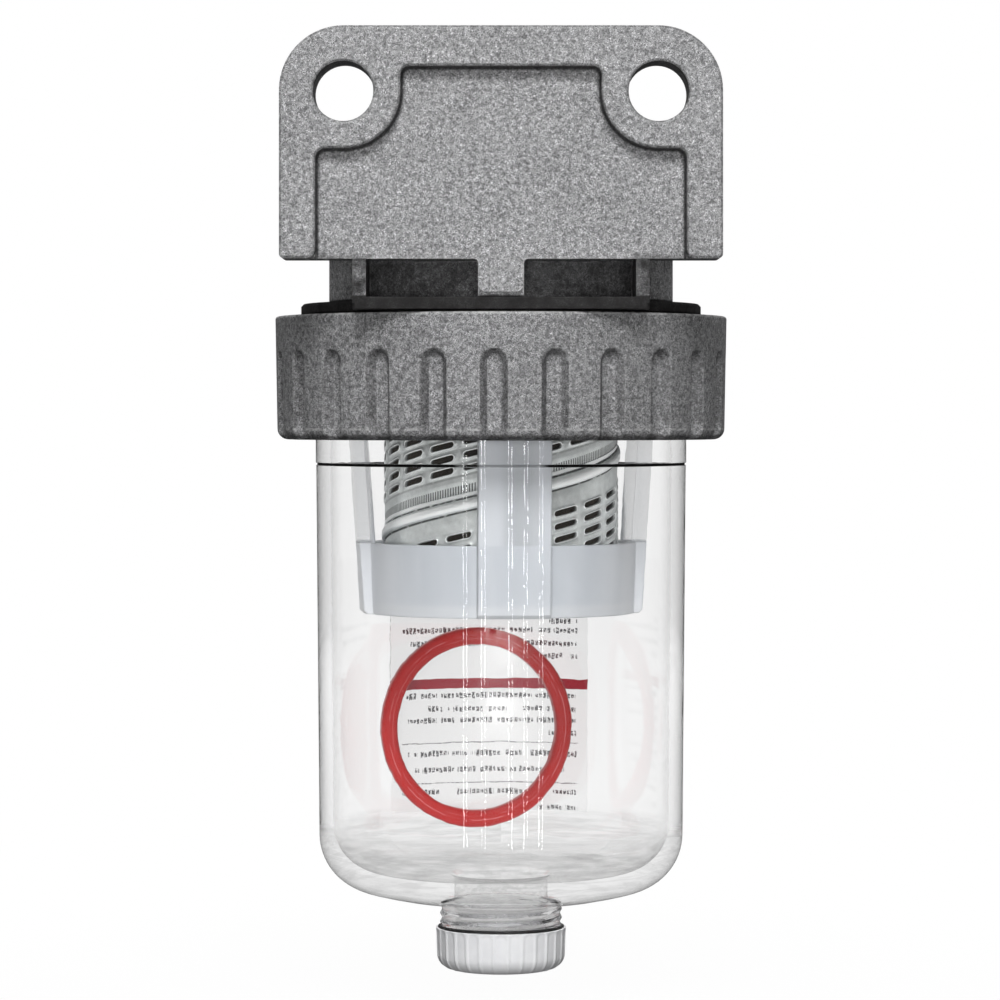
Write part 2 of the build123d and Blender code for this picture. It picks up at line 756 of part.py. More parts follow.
def inner_core():
    """Steel core inside the paper, with windows for the fuel."""
    core = upright_rod(core_r, tube_foot + seat_gap, tube_top - seat_gap)
    core -= upright_rod(core_r - core_wall, tube_foot - past, tube_top + past)
    level = tube_foot + core_window_rise
    windows = []
    for index in range(core_windows):
        opening = Pos(core_r, 0, level) * Box(2 * past, core_window_width, core_window_height)
        windows.append(Rot(0, 0, index * 360 / core_windows) * opening)
    return axis_offset * (core - windows)


def lower_end_cap():
    """Moulded cap under the element, which stands on the floor of the cup."""
    top = tube_foot - seat_gap
    flange_foot = top - lower_cap_flange
    foot = cup_floor_top + seat_gap
    inner = lower_cap_skirt_r - lower_cap_wall
    web_foot = flange_foot - lower_cap_web
    return axis_offset * turned(
        (0, top, 0), (lower_cap_r, top, 0), (lower_cap_r, flange_foot, 0),
        (lower_cap_skirt_r, flange_foot, 0), (lower_cap_skirt_r, foot, 0), (inner, foot, 0),
        (inner, web_foot, 0), (0, web_foot, 0))


def cage_straps():
    """Four straps of one conical band, from the cup's foot up into the head."""
    top = cage_seat - cage_ring_height / 2
    top_r = strap_foot_r + (top - cup_bottom) * tan(radians(strap_slope))
    band = turned(
        (strap_foot_r - strap_thickness, cup_bottom, 0), (strap_foot_r - strap_bevel, cup_bottom, 0),
        (strap_foot_r, cup_bottom + strap_bevel, 0), (top_r, top, 0), (top_r - strap_thickness, top, 0))
    reach = 2 * skirt_bore_r
    width = (-strap_width / 2, strap_width / 2)
    arms = block(width, (-reach, reach), (cup_bottom - past, top + past))
    arms += block((-reach, reach), width, (cup_bottom - past, top + past))
    return band & arms


def baffle_cage():
    """Cup, straps and top ring, moulded in one piece and snapped into the skirt."""
    cup = turned(
        (0, cup_bottom, 0), (cup_bottom_r, cup_bottom, 0), (cup_top_r, cup_top, 0),
        (cup_top_r - cup_wall, cup_top, 0), (cup_bottom_r - cup_wall, cup_floor_top, 0),
        (0, cup_floor_top, 0))
    outer = skirt_bore_r - sliding_gap
    bead_level = cage_seat - cage_ring_height / 2
    half = snap_bead / 2
    ring_top = cage_seat - seat_gap
    ring = turned(
        (outer - cage_ring_width, ring_top - cage_ring_height, 0), (outer, ring_top - cage_ring_height, 0),
        (outer, bead_level - snap_bead, 0), (outer + half, bead_level, 0), (outer, bead_level + snap_bead, 0),
        (outer, ring_top, 0), (outer - cage_ring_width, ring_top, 0))
    straps = cage_straps()
    hollow = turned(
        (0, cup_floor_top, 0), (cup_bottom_r - cup_wall, cup_floor_top, 0),
        (cup_top_r - cup_wall, cup_top, 0), (cup_top_r - cup_wall, cup_top + past, 0), (0, cup_top + past, 0))
    return axis_offset * (Rot(0, 0, cage_turn) * (cup + ring + (straps - hollow)))


def main():
    """Build every sub-part and write one file for each."""
    parts = {
        "head_casting": head_casting(),
        "bowl_seal": bowl_seal(),
        "outlet_spigot": outlet_spigot(),
        "element_grommet": element_grommet(),
        "upper_end_cap": upper_end_cap(),
        "perforated_tube": perforated_tube(),
        "pleated_media": pleated_media(),
        "inner_core": inner_core(),
        "lower_end_cap": lower_end_cap(),
        "baffle_cage": baffle_cage(),
        "ring_nut": ring_nut(),
        "bowl": bowl(),
        "bowl_label": bowl_label(),
        "float_ring": float_ring(),
        "drain_seal": drain_seal(),
        "drain_cap": drain_cap(),
        "bleed_washer": bleed_washer(),
        "bleed_screw": bleed_screw(),
    }
    os.makedirs("parts", exist_ok=True)
    for name, shape in parts.items():
        export_step(shape, f"parts/{name}.step")
        print(name, "volume", round(shape.volume), "solids", len(shape.solids()))


main()
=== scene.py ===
# %% [markdown]
# # Fuel water separator
# The unit hangs by a cast bracket. A fluted nut holds a clear bowl under the head, and through the
# bowl one sees a slotted steel element in a milky cage, a red float ring and a label.
# The packed model is the frame: it gives the bodies, the joints and the place of every piece.

# %% Load the frame
from math import atan2, ceil, cos, pi, radians, sin, tan
from random import Random
import bmesh
import bpy
from mathutils import Matrix, Vector


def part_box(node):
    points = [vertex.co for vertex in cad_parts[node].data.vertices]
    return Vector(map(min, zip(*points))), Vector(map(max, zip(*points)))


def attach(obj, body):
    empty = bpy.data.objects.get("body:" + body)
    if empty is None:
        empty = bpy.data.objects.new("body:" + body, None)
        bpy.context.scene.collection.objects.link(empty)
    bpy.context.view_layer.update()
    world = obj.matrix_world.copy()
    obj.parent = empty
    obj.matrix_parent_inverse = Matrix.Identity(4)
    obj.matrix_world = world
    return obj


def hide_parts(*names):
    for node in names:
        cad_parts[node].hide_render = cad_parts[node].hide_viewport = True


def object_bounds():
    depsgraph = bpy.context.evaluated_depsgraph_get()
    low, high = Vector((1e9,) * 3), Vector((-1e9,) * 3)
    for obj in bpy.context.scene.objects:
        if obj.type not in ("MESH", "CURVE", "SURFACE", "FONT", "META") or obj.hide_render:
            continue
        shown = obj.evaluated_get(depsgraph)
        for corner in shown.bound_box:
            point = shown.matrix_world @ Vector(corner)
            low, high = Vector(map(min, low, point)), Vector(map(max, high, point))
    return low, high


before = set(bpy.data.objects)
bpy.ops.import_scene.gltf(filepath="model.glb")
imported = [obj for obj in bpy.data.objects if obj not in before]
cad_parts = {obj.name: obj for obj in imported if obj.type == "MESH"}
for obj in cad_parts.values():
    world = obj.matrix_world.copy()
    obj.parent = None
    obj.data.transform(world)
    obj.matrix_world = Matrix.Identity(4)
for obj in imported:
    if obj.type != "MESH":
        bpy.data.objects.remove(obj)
cad_low, cad_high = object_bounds()
mm = 0.001
print("frame box in mm:", [round(v / mm, 1) for v in (*cad_low, *cad_high)])

# %% [markdown]
# ## Sums on sockets
# A node tree works out numbers with Math nodes, and wired by hand they hide the sum. A small class
# that overloads the operators lets the script say it as a sum, and adds the nodes behind it. The
# reflected forms are there so that 1 - mask works as well.

# %% Numbers and nodes of a tree
def joined(operation):
    """The plain and the reflected method that join two numbers in one Math node."""
    return (lambda self, other: self.graph.sum(operation, self, other),
            lambda self, other: self.graph.sum(operation, other, self))


class Value:
    """A number that a node tree works out."""

    def __init__(self, graph, socket):
        self.graph, self.socket = graph, socket

    __add__, __radd__ = joined("ADD")
    __sub__, __rsub__ = joined("SUBTRACT")
    __mul__, __rmul__ = joined("MULTIPLY")
    __truediv__, __rtruediv__ = joined("DIVIDE")

    def __abs__(self):
        return self.graph.sum("ABSOLUTE", self)

    def climb(self, low, high):
        """0 at low, 1 at high and a smooth climb between them, whichever is the larger."""
        return Value(self.graph, self.graph.node("ShaderNodeMapRange", {
            "Value": self, "From Min": low, "From Max": high}, interpolation_type="SMOOTHSTEP"))

    def band(self, low, high, soft):
        """1 between low and high, with edges that are soft wide."""
        return self.climb(low - soft / 2, low + soft / 2) * self.climb(high + soft / 2, high - soft / 2)


class Graph:
    """A node tree, and one method that makes any node in it."""

    def __init__(self, tree):
        self.tree = tree

    def node(self, kind, sockets=None, **settings):
        """New node. A node given to a socket stands for its first output, and a number for a grey."""
        made = self.tree.nodes.new(kind)
        for name, setting in settings.items():
            setattr(made, name, setting)
        for name, value in (sockets or {}).items():
            value, socket = getattr(value, "socket", value), made.inputs[name]
            if isinstance(value, bpy.types.Node):
                value = value.outputs[0]
            if isinstance(value, bpy.types.NodeSocket):
                self.tree.links.new(value, socket)
            elif socket.type == "RGBA":
                socket.default_value = (*(value if isinstance(value, tuple) else [value] * 3), 1.0)
            else:
                socket.default_value = value
        return made

    def sum(self, operation, *terms):
        """One Math node, as a Value."""
        return Value(self, self.node("ShaderNodeMath", dict(enumerate(terms)), operation=operation))

    def most(self, first, *others):
        """The largest of some numbers."""
        for other in others:
            first = self.sum("MAXIMUM", first, other)
        return first

    def distance(self, across, up):
        """Length of the line to a point that far across and up."""
        return self.sum("SQRT", across * across + up * up)

    def vector(self, x=0.0, y=0.0, z=0.0):
        """Three numbers as one vector."""
        return self.node("ShaderNodeCombineXYZ", {0: x, 1: y, 2: z})

    def parts(self, vector):
        """The three numbers of a vector."""
        return [Value(self, part) for part in self.node("ShaderNodeSeparateXYZ", {0: vector}).outputs]

    def blend(self, factor, first, second):
        """Two shaders mixed, the second by that factor."""
        return self.node("ShaderNodeMixShader", {0: factor, 1: first, 2: second})


print("a value knows:", *vars(Value))

# %% [markdown]
# ## Turned forms
# The nut, the bowl, the cap and most rings are bodies of revolution whose radius follows a rule:
# flutes, ribs or a thread. A profile line with true arcs says the section. A Geometry Nodes tree lays
# a grid whose rows are the profile's points and whose columns go round the axis, and a rule may change
# each radius on the way. A lathe modifier would turn the section, but it knows nothing of flutes.

# %% Profile lines
def arc_points(start, corner, end, corner_r, arc_step):
    """Points of the arc that rounds the corner between two runs."""
    back = (start - corner).normalized()
    ahead = (end - corner).normalized()
    half = back.angle(ahead) / 2
    centre = corner + (back + ahead).normalized() * (corner_r / sin(half))
    first, last = (corner + way * (corner_r / tan(half)) - centre for way in (back, ahead))
    turn = atan2(first.x * last.y - first.y * last.x, first.dot(last))
    count = max(2, ceil(abs(turn) / radians(arc_step)))
    return [centre + Matrix.Rotation(turn * index / count, 2) @ first for index in range(count + 1)]


def rounded_line(corners, step=2.0, arc_step=9.0):
    """Points no further apart than step, from corners of (radius, height) and maybe a corner radius."""
    places = [Vector(corner[:2]) for corner in corners]
    points = []
    for index, (_, _, *corner_r) in enumerate(corners):
        if corner_r:
            points += arc_points(*places[index - 1:index + 2], *corner_r, arc_step)
        else:
            points.append(places[index])
    line = points[:1]
    for point in points[1:]:
        start = line[-1]
        pieces = max(1, ceil((point - start).length / step - 1e-6))
        line += [start.lerp(point, index / pieces) for index in range(1, pieces + 1)]
    return line


print("a rounded corner has", len(rounded_line([(0, 0), (4, 0, 1), (4, 4)])), "points")

# %% [markdown]
# A tree's inputs are named for the sizes that its rule needs. A modifier's input is set by the socket's
# identifier, because two sockets may share a name. What is kept is the evaluated form as a plain mesh.

# %% Trees that make a mesh
bowl_axis = Vector((0, 47.5, 0))


def settle(piece, sharp=40):
    """Gives a closed mesh outward faces, merged doubles and smooth shading up to sharp edges."""
    form = bmesh.new()
    form.from_mesh(piece.data)
    bmesh.ops.remove_doubles(form, verts=form.verts, dist=1e-6)
    bmesh.ops.dissolve_degenerate(form, dist=1e-6, edges=form.edges)
    bmesh.ops.recalc_face_normals(form, faces=form.faces)
    form.to_mesh(piece.data)
    form.free()
    piece.data.shade_smooth()
    piece.data.set_sharp_from_angle(angle=radians(sharp))


def linked(name, data):
    """Object of a mesh, lamp or camera, linked to the scene."""
    made = bpy.data.objects.new(name, data)
    bpy.context.scene.collection.objects.link(made)
    return made


def grown(name, base, sizes, build, material):
    """Piece that a Geometry Nodes tree builds from a base mesh and named sizes."""
    tree = bpy.data.node_groups.new(name, "GeometryNodeTree")
    given = {"Base": tree.interface.new_socket("Base", in_out="INPUT", socket_type="NodeSocketGeometry")}
    for label, size in sizes.items():
        kind = "NodeSocketInt" if isinstance(size, int) else "NodeSocketFloat"
        given[label] = tree.interface.new_socket(label, in_out="INPUT", socket_type=kind)
    tree.interface.new_socket("Mesh", in_out="OUTPUT", socket_type="NodeSocketGeometry")
    graph = Graph(tree)
    entry = graph.node("NodeGroupInput")
    shape = build(graph, {label: Value(graph, entry.outputs[label]) for label in given})
    real = graph.node("GeometryNodeRealizeInstances", {"Geometry": shape})
    painted = graph.node("GeometryNodeSetMaterial", {0: real, "Material": material})
    graph.node("NodeGroupOutput", {0: painted})
    piece = linked(name, base)
    modifier = piece.modifiers.new(name, "NODES")
    modifier.node_group = tree
    for label, size in sizes.items():
        modifier[given[label].identifier] = size
    made = bpy.data.meshes.new_from_object(piece.evaluated_get(bpy.context.evaluated_depsgraph_get()))
    piece.modifiers.clear()
    piece.data = made
    return piece


def index_grid(graph, profile, columns):
    """Grid with a row for each profile point: its mesh, and each vertex's radius, height and angle."""
    count = graph.node("GeometryNodeAttributeDomainSize", {0: profile}, component="MESH")
    rows = Value(graph, count.outputs["Point Count"])
    grid = graph.node("GeometryNodeMeshGrid", {"Vertices X": columns + 1, "Vertices Y": rows})
    index = Value(graph, graph.node("GeometryNodeInputIndex"))
    column = graph.sum("FLOOR", (index + 0.5) / rows)
    place = graph.node("GeometryNodeInputPosition")
    sample = graph.node("GeometryNodeSampleIndex", {
        "Geometry": profile, "Value": place, "Index": index - column * rows}, data_type="FLOAT_VECTOR")
    radius, _, height = graph.parts(sample.outputs["Value"])
    return grid, radius, height, column / columns * (2 * pi)


def wrapped(graph, mesh, radius, height, angle, centre=bowl_axis, merged=1e-6):
    """The mesh laid round an upright axis, doubles merged. Angles start in front and go right."""
    place = graph.vector(radius * graph.sum("SINE", angle) * mm + centre.x * mm,
                         radius * graph.sum("COSINE", angle) * -mm + centre.y * mm, height * mm)
    moved = graph.node("GeometryNodeSetPosition", {"Geometry": mesh, "Position": place})
    return graph.node("GeometryNodeMergeByDistance", {0: moved, "Distance": merged})


def turned(name, profile, columns, material, sizes=None, rule=None, centre=bowl_axis):
    """Body of revolution about an upright axis, whose radius may follow a rule."""
    base = bpy.data.meshes.new(name)
    base.from_pydata([(across, 0, up) for across, up in profile], [], [])

    def build(graph, given):
        mesh, radius, height, angle = index_grid(graph, given["Base"], given["Columns"])
        if rule:
            radius = rule(graph, given, radius, height, angle)
        return wrapped(graph, mesh, radius, height, angle, centre)

    piece = grown(name, base, {"Columns": columns, **(sizes or {})}, build, material)
    settle(piece)
    print(name, len(piece.data.polygons), "faces")
    return piece


def stands_for(piece, body, node):
    """The piece rides on a body and shows in place of a CAD node."""
    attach(piece, body)
    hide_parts(node)


# %% [markdown]
# ## Shared sizes
# A form and a finish that meet use the same numbers, in millimetres. Levels come from the frame.

# %% Levels and radii
def levels(node):
    """Foot and top level of a CAD node."""
    low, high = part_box(node)
    return low.z / mm, high.z / mm


bolt_x, hole_r = 30.0, 5.75
plate_depth, plate_foot = 12.0, -31.8
pocket_half, pocket_top, pocket_depth = 35.3, 4.7, 3.5
ledge_level = -39.0

nut_foot, nut_top = levels("ring_nut")
nut_r, nut_bore_r = 45.6, 42.0

neck_foot, bowl_rim = levels("bowl")
bowl_foot = nut_foot - 93.5
bowl_floor = bowl_foot + 5.7
line_top = nut_foot - 4.7
neck_bore_r = 9.4

cup_foot, _ = levels("baffle_cage")
cup_lip = cup_foot + 14.2

tube_foot, tube_top = levels("perforated_tube")
tube_r = 23.5
seam_pitch = 34.0
seam_level = tube_foot + 10.4

ring_low, ring_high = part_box("float_ring")
ring_centre = (ring_low + ring_high) / 2
ring_turn = radians(12.5)
print("bowl floor, foot and cup lip:", round(bowl_floor, 2), round(bowl_foot, 2), round(cup_lip, 2))

# %% [markdown]
# ## Finishes
# Every finish reads Object coordinates, here turned into millimetres from the bowl's axis, so that a
# pattern's scale can be written as a real size. What varies over the surface goes to base colour,
# roughness, coat, alpha, the normal or a shader mix.

# %% A material's tree
def emptied(owner):
    """The node tree of a material or world, without its first nodes."""
    owner.use_nodes = True
    owner.node_tree.nodes.clear()
    return owner.node_tree


class Finish(Graph):
    """The node tree of one material."""

    def __init__(self, name):
        self.material = bpy.data.materials.new(name)
        super().__init__(emptied(self.material))
        place = self.node("ShaderNodeTexCoord").outputs["Object"]
        self.place = self.node("ShaderNodeMapping", {
            "Vector": place, "Location": -bowl_axis, "Scale": (1 / mm, 1 / mm, 1 / mm)})
        self.x, self.y, self.z = self.parts(self.place)
        self.angle = self.sum("ARCTAN2", self.x, self.y * -1.0)
        self.radius = self.distance(self.x, self.y)

    def stretched(self, scale):
        """The place with another scale along each axis."""
        return self.node("ShaderNodeMapping", {"Vector": self.place, "Scale": scale})

    def noise(self, size, detail=2.0, rough=0.5, distortion=0.0, place=None):
        """Soft noise from 0 to 1 whose features are about that many millimetres."""
        return Value(self, self.node("ShaderNodeTexNoise", {
            "Vector": place or self.place, "Scale": 1 / size, "Detail": detail, "Roughness": rough,
            "Distortion": distortion}))

    def mix(self, factor, first, second):
        """Two colours, the second by that factor."""
        return self.node("ShaderNodeMix", {0: factor, 6: first, 7: second}, data_type="RGBA").outputs[2]

    def bump(self, height, depth, normal=None):
        """Normal of a surface that is depth millimetres higher where height is 1."""
        under = {"Normal": normal} if normal else {}
        return self.node("ShaderNodeBump", {"Height": height, "Distance": depth * mm, **under})

    def eased(self, edge_r):
        """Normal of a surface whose edges are rounded by that radius in millimetres."""
        return self.node("ShaderNodeBevel", {"Radius": edge_r * mm}, samples=4)

    def along_normal(self, direction):
        """1 where the surface faces a direction, 0 where it stands square to it."""
        normal = self.node("ShaderNodeNewGeometry").outputs["Normal"]
        made = self.node("ShaderNodeVectorMath", {0: direction, 1: normal}, operation="DOT_PRODUCT")
        return Value(self, made.outputs["Value"])

    def surface(self, **sockets):
        """Principled surface, with sockets named by their labels with _ for a space."""
        named = {label.replace("_", " "): value for label, value in sockets.items()}
        return self.node("ShaderNodeBsdfPrincipled", named)

    def glow(self, colour, strength):
        """Surface that gives light, at which no lamp sampling aims."""
        self.material.cycles.emission_sampling = "NONE"
        return self.node("ShaderNodeEmission", {"Color": colour, "Strength": strength})

    def done(self, shader):
        """Ends the tree in its output, and gives the material."""
        self.node("ShaderNodeOutputMaterial", {"Surface": shader})
        return self.material

    def painted(self, **sockets):
        """The material of one Principled surface."""
        return self.done(self.surface(**sockets))


print("millimetres from", *bowl_axis)

# %% [markdown]
# ### Cast and blasted aluminium
# The head and the nut are die castings that were blasted with grit. The skin is a flat grey with fine
# light worms and dark pits, each a few tenths of a millimetre, and the raised edges are rubbed bright.
# Noise folded at its middle gives the worms, because a fold turns soft hills into thin ridges.

# %% Cast metal
def cast_finish(name, tone, painted_shade_mask, bright_mask=None):
    """Blasted casting of that grey level, with a mask of painted shade and one for lighter places."""
    skin = Finish(name)
    ground = skin.noise(0.30, rough=0.6)
    fold = 1 - abs(skin.noise(0.46, detail=1, distortion=1.8) - 0.5) * 2
    worms = fold.climb(0.86, 0.98) * skin.noise(0.9).climb(0.36, 0.56)
    cloud = skin.noise(9.0, detail=3)
    level = (ground.climb(0.3, 0.7) * 0.75 + worms * 1.7 + cloud * 0.3 + 0.17) * tone
    worn = skin.along_normal(skin.eased(0.7)).climb(0.97, 0.78)
    if bright_mask:
        worn = skin.most(worn, bright_mask(skin))
    shade = painted_shade_mask(skin)
    worn *= skin.noise(1.4, detail=4).climb(0.36, 0.6) * (1 - shade)
    # Painted shade: where the mask is 1 the colour goes to near black.
    colour = skin.mix(shade, skin.vector(level, level, level * 1.02), (0.020, 0.019, 0.019))
    colour = skin.mix(worn * 0.75, colour, tone * 2.2)
    return skin.painted(
        Base_Color=colour, Metallic=0.35, Roughness=0.6 - worms * 0.15, Specular_IOR_Level=0.3,
        Normal=skin.bump(ground * 0.6 + worms * 0.5, 0.035, skin.eased(0.35)))


# Painted shade: the recess walls, the bolt holes, the ground under the plate, its ribs and the ledge go
# dark.
def painted_recess_shade(skin):
    """Painted shade on the walls of the plate's recess and bolt holes, and on the ground under the plate.
    """
    side, z, depth = abs(skin.x), skin.z, skin.y + bowl_axis.y
    inside = side.climb(pocket_half + 0.6, pocket_half + 0.2) * z.climb(pocket_top + 0.4, pocket_top + 0.2)
    inside *= z.climb(plate_foot - 0.4, plate_foot + 0.2)
    wall = depth.climb(0.15, 0.7) * depth.climb(pocket_depth + 0.02, pocket_depth - 0.4)
    hole = skin.distance(side - bolt_x, z).climb(hole_r + 0.5, hole_r + 0.3)
    hole *= depth.climb(0.3, 0.9) * depth.climb(plate_depth + 0.2, plate_depth - 0.2)
    shade_mottle = skin.noise(2.5, detail=3).climb(0.3, 0.7)
    low = z.climb(plate_foot + 1.8, plate_foot - 0.8) * depth.climb(34, 24)
    under = low * depth.climb(plate_depth - 0.2, plate_depth + 0.4) * (shade_mottle * 0.2 + 0.62)
    ribs = low * depth.climb(pocket_depth - 0.5, pocket_depth + 0.1) * side.climb(24, 26)
    ledge = z.climb(ledge_level + 0.6, ledge_level + 0.1) * (shade_mottle * 0.04 + 0.95)
    return skin.most(inside * wall * 0.85, hole * 0.75, under, ribs * (shade_mottle * 0.4 + 0.55), ledge)


# Painted shade on the flutes' steep sides and under the nut's foot.
def painted_flute_shade(skin):
    """Painted shade on the steep sides of the nut's flutes and on the underside of its foot."""
    z, radius = skin.z, skin.radius
    outward = skin.vector(skin.x / radius, skin.y / radius)
    steep = skin.along_normal(outward).climb(1.0, 0.5) * radius.climb(nut_r - 2.6, nut_r - 2.2)
    steep *= z.climb(nut_foot + 1.5, nut_foot + 4) * z.climb(nut_top - 1, nut_top - 1.5)
    edge = skin.noise(3.0, place=skin.vector(skin.angle * 45)) * 1.6
    foot = (z - edge).climb(nut_foot + 0.6, nut_foot - 0.2) * radius.climb(nut_bore_r - 1, nut_bore_r)
    return skin.most(steep * 0.42, foot * 0.6)


def top_rim(skin):
    """Rubbed upper edge of the nut, and a lighter line above its foot."""
    top = skin.z.climb(nut_top - 0.6, nut_top - 0.25) * skin.radius.climb(nut_r - 1.2, nut_r - 0.7)
    line = skin.z.band(nut_foot + 1.9, nut_foot + 2.3, 0.2) * skin.radius.climb(nut_r - 1, nut_r - 0.7)
    return skin.most(top, line * 0.8)


cast_metal = cast_finish("cast_aluminium", 0.40, painted_recess_shade)
nut_metal = cast_finish("nut_aluminium", 0.335, painted_flute_shade, top_rim)
print("castings:", cast_metal.name, nut_metal.name)

# %% [markdown]
# ### Clear plastic
# The bowl is a polished clear moulding. Light bends through its wall, so the shader refracts. Towards
# the outline the path through the plastic grows long and the wall looks grey. A second, darker glass,
# mixed in by the facing of the surface and on the neck, paints that grey as shade from every side.
# Round the foot the thick wall would bend the dark room into view, so a third glass there lets the
# light go straight on. It carries the streaks of the moulding as a tint, and painted shade at the
# edges of the drain hole and the foot ring, in front only.

# %% Clear plastic
def foot_glass(skin, facing):
    """Glass of the bowl's foot: streaked, with painted shade at its edges in front, and glossy outside
    only.
    """
    z, radius = skin.z, skin.radius
    flow = skin.noise(1.0, detail=4, rough=0.6, place=skin.vector(
        skin.angle * 3.0, radius * 0.22, z * 0.9))
    # The facing term darkens the outline as painted shade; the flow noise is a tint of the moulding.
    streak = flow.climb(0.42, 0.62) * 0.45 + facing.climb(0.6, 0.98) * 0.35
    hole_edge = radius.band(neck_bore_r - 0.2, neck_bore_r + 1.2, 0.2)
    hole_edge *= z.band(bowl_floor - 0.9, bowl_floor, 0.15)
    foot_edge = radius.band(14.2, 14.7, 0.1) * z.climb(bowl_foot + 1.2, bowl_foot + 0.8)
    # Painted shade on the edges of the drain hole and the foot ring, in front only.
    dark = skin.y.climb(-2.0, -6.0) * (hole_edge + foot_edge * 0.6) * 0.92
    outside = 1 - Value(skin, skin.node("ShaderNodeNewGeometry").outputs["Backfacing"])
    return skin.surface(
        Base_Color=skin.mix(dark, skin.mix(streak, 0.90, 0.55), 0.04), Roughness=0.0,
        IOR=1.0, Transmission_Weight=1.0, Coat_Weight=outside, Coat_Roughness=0.02, Coat_IOR=1.4)


def clear_finish():
    """Polished clear plastic with grey outlines, and painted shade along the moulding groove that fades in
    front.
    """
    skin = Finish("clear_plastic")
    z = skin.z
    facing = Value(skin, skin.node("ShaderNodeLayerWeight", {"Blend": 0.5}).outputs["Facing"])
    normal = skin.bump(skin.noise(6.0), 0.02)
    # The second glass is a shaded copy: mixed in, it paints shade on the outline and the neck.
    bright, shaded_glass = (
        skin.surface(Base_Color=level, Roughness=0.0, IOR=1.49, Transmission_Weight=1.0, Normal=normal)
        for level in (0.985, 0.50))
    edge = facing.climb(0.60, 0.97) * (z.climb(bowl_foot + 8, bowl_foot + 20) * 0.6 + 0.4)
    neck = z.climb(bowl_foot + 0.3, bowl_foot - 0.5)
    glass = skin.blend(skin.most(edge, neck * 0.6), bright, shaded_glass)
    straight = z.climb(bowl_foot + 17, bowl_foot + 12) * (1 - neck)
    glass = skin.blend(straight, glass, foot_glass(skin, facing))
    front = abs(skin.angle).climb(0.26, 0.19)
    # Painted shade: a near-black line in the moulding groove, weaker in front.
    line = z.band(line_top - 0.52, line_top + 0.02, 0.06) * skin.radius.climb(36.9, 37.0)
    dark = skin.surface(Base_Color=0.006, Roughness=0.5, Specular_IOR_Level=0.1)
    return skin.done(skin.blend(line * (1 - front * 0.55), glass, dark))


clear_plastic = clear_finish()
print("clear:", clear_plastic.name, len(clear_plastic.node_tree.nodes), "nodes")

# %% [markdown]
# ### Other plastics, rubber and film
# The cage is a milky moulding that lets a little light through, the cap a whiter one, and the float
# ring bright red. The label is a thin film with a crimson bar and rows of short dark strokes.

# %% Milky, white, red and black
def milky_finish():
    """Milky plastic, a little uneven, with painted light over the cup's floor and on the cup's sides, and
    thinner in half of each strap.
    """
    skin = Finish("milky_plastic")
    side, z = abs(skin.x), skin.z
    flow = skin.noise(9.0, detail=3, place=skin.stretched((1, 1, 0.12))).climb(0.3, 0.7)
    above, below = z.climb(cup_lip - 0.2, cup_lip + 0.4), z.climb(cup_lip + 0.4, cup_lip - 0.2)
    strap = above * side.climb(7.6, 7.2)
    colour = skin.mix(flow, (0.46, 0.487, 0.522), (0.55, 0.573, 0.605))
    # Painted light: the cup is lighter over its floor and on its sides.
    colour = skin.mix(z.band(cup_foot - 0.6, cup_foot + 2.4, 1.6) * 0.3, colour, (0.70, 0.705, 0.71))
    colour = skin.mix(side.climb(17, 27) * below * 0.4, colour, (0.74, 0.755, 0.78))
    colour = skin.mix(strap * 0.35, colour, (0.76, 0.78, 0.81))
    thin = strap * (skin.x.climb(-1.2, 3.2) * 0.68 + 0.12) * (0.78 - flow * 0.3)
    thin = skin.most(thin, above * side.climb(25.0, 26.0) * 1.15)
    return skin.painted(
        Base_Color=colour, Roughness=0.34, Specular_IOR_Level=0.4, Alpha=0.95 - thin * 0.6,
        Normal=skin.bump(skin.noise(0.8, detail=3), 0.01, skin.eased(0.5)))


def white_finish():
    """Satin white plastic."""
    skin = Finish("white_plastic")
    flow = skin.noise(5.0, detail=3).climb(0.3, 0.7)
    return skin.painted(
        Base_Color=skin.mix(flow, (0.80, 0.805, 0.822), (0.87, 0.875, 0.888)), Roughness=0.42,
        Specular_IOR_Level=0.4, Subsurface_Weight=0.2, Subsurface_Radius=(0.002, 0.002, 0.002),
        Normal=skin.bump(skin.noise(0.35, detail=3), 0.012))


def red_finish():
    """Bright red plastic with pale specks and two thin rings of painted highlight near its outer edge."""
    skin = Finish("red_plastic")
    cells = skin.node("ShaderNodeTexVoronoi", {"Vector": skin.place, "Scale": 1 / 1.6})
    speck = Value(skin, cells.outputs["Distance"]).climb(0.12, 0)
    speck *= skin.noise(3.0).climb(0.5, 0.6)
    base = skin.mix(skin.noise(7.0), (0.38, 0.007, 0.007), (0.49, 0.013, 0.012))
    across = skin.x * cos(ring_turn) + skin.y * sin(ring_turn)
    reach = skin.distance(across, skin.z - ring_centre.z / mm)
    drawn = skin.noise(5.0).climb(0.4, 0.6)
    # Painted highlight: two thin lighter rings near the outer edge.
    line = reach.band(19.15, 19.35, 0.15) * drawn + reach.band(18.45, 18.6, 0.12) * (1 - drawn) * 0.6
    return skin.painted(
        Base_Color=skin.mix(speck * 0.6 + line * 0.4, base, (0.80, 0.36, 0.36)),
        Roughness=0.3 + speck * 0.2, Specular_IOR_Level=0.3,
        Normal=skin.bump(skin.noise(0.9, detail=4), 0.015))


def rubber_finish():
    """Smooth black rubber."""
    skin = Finish("black_rubber")
    dust = skin.noise(0.5, detail=4)
    return skin.painted(
        Base_Color=skin.mix(dust.climb(0.55, 0.8), 0.012, 0.035),
        Roughness=0.45 + dust * 0.15, Normal=skin.bump(dust, 0.01))


milky_plastic, white_plastic = milky_finish(), white_finish()
red_plastic, black_rubber = red_finish(), rubber_finish()
print("plastics:", milky_plastic.name, white_plastic.name, red_plastic.name)

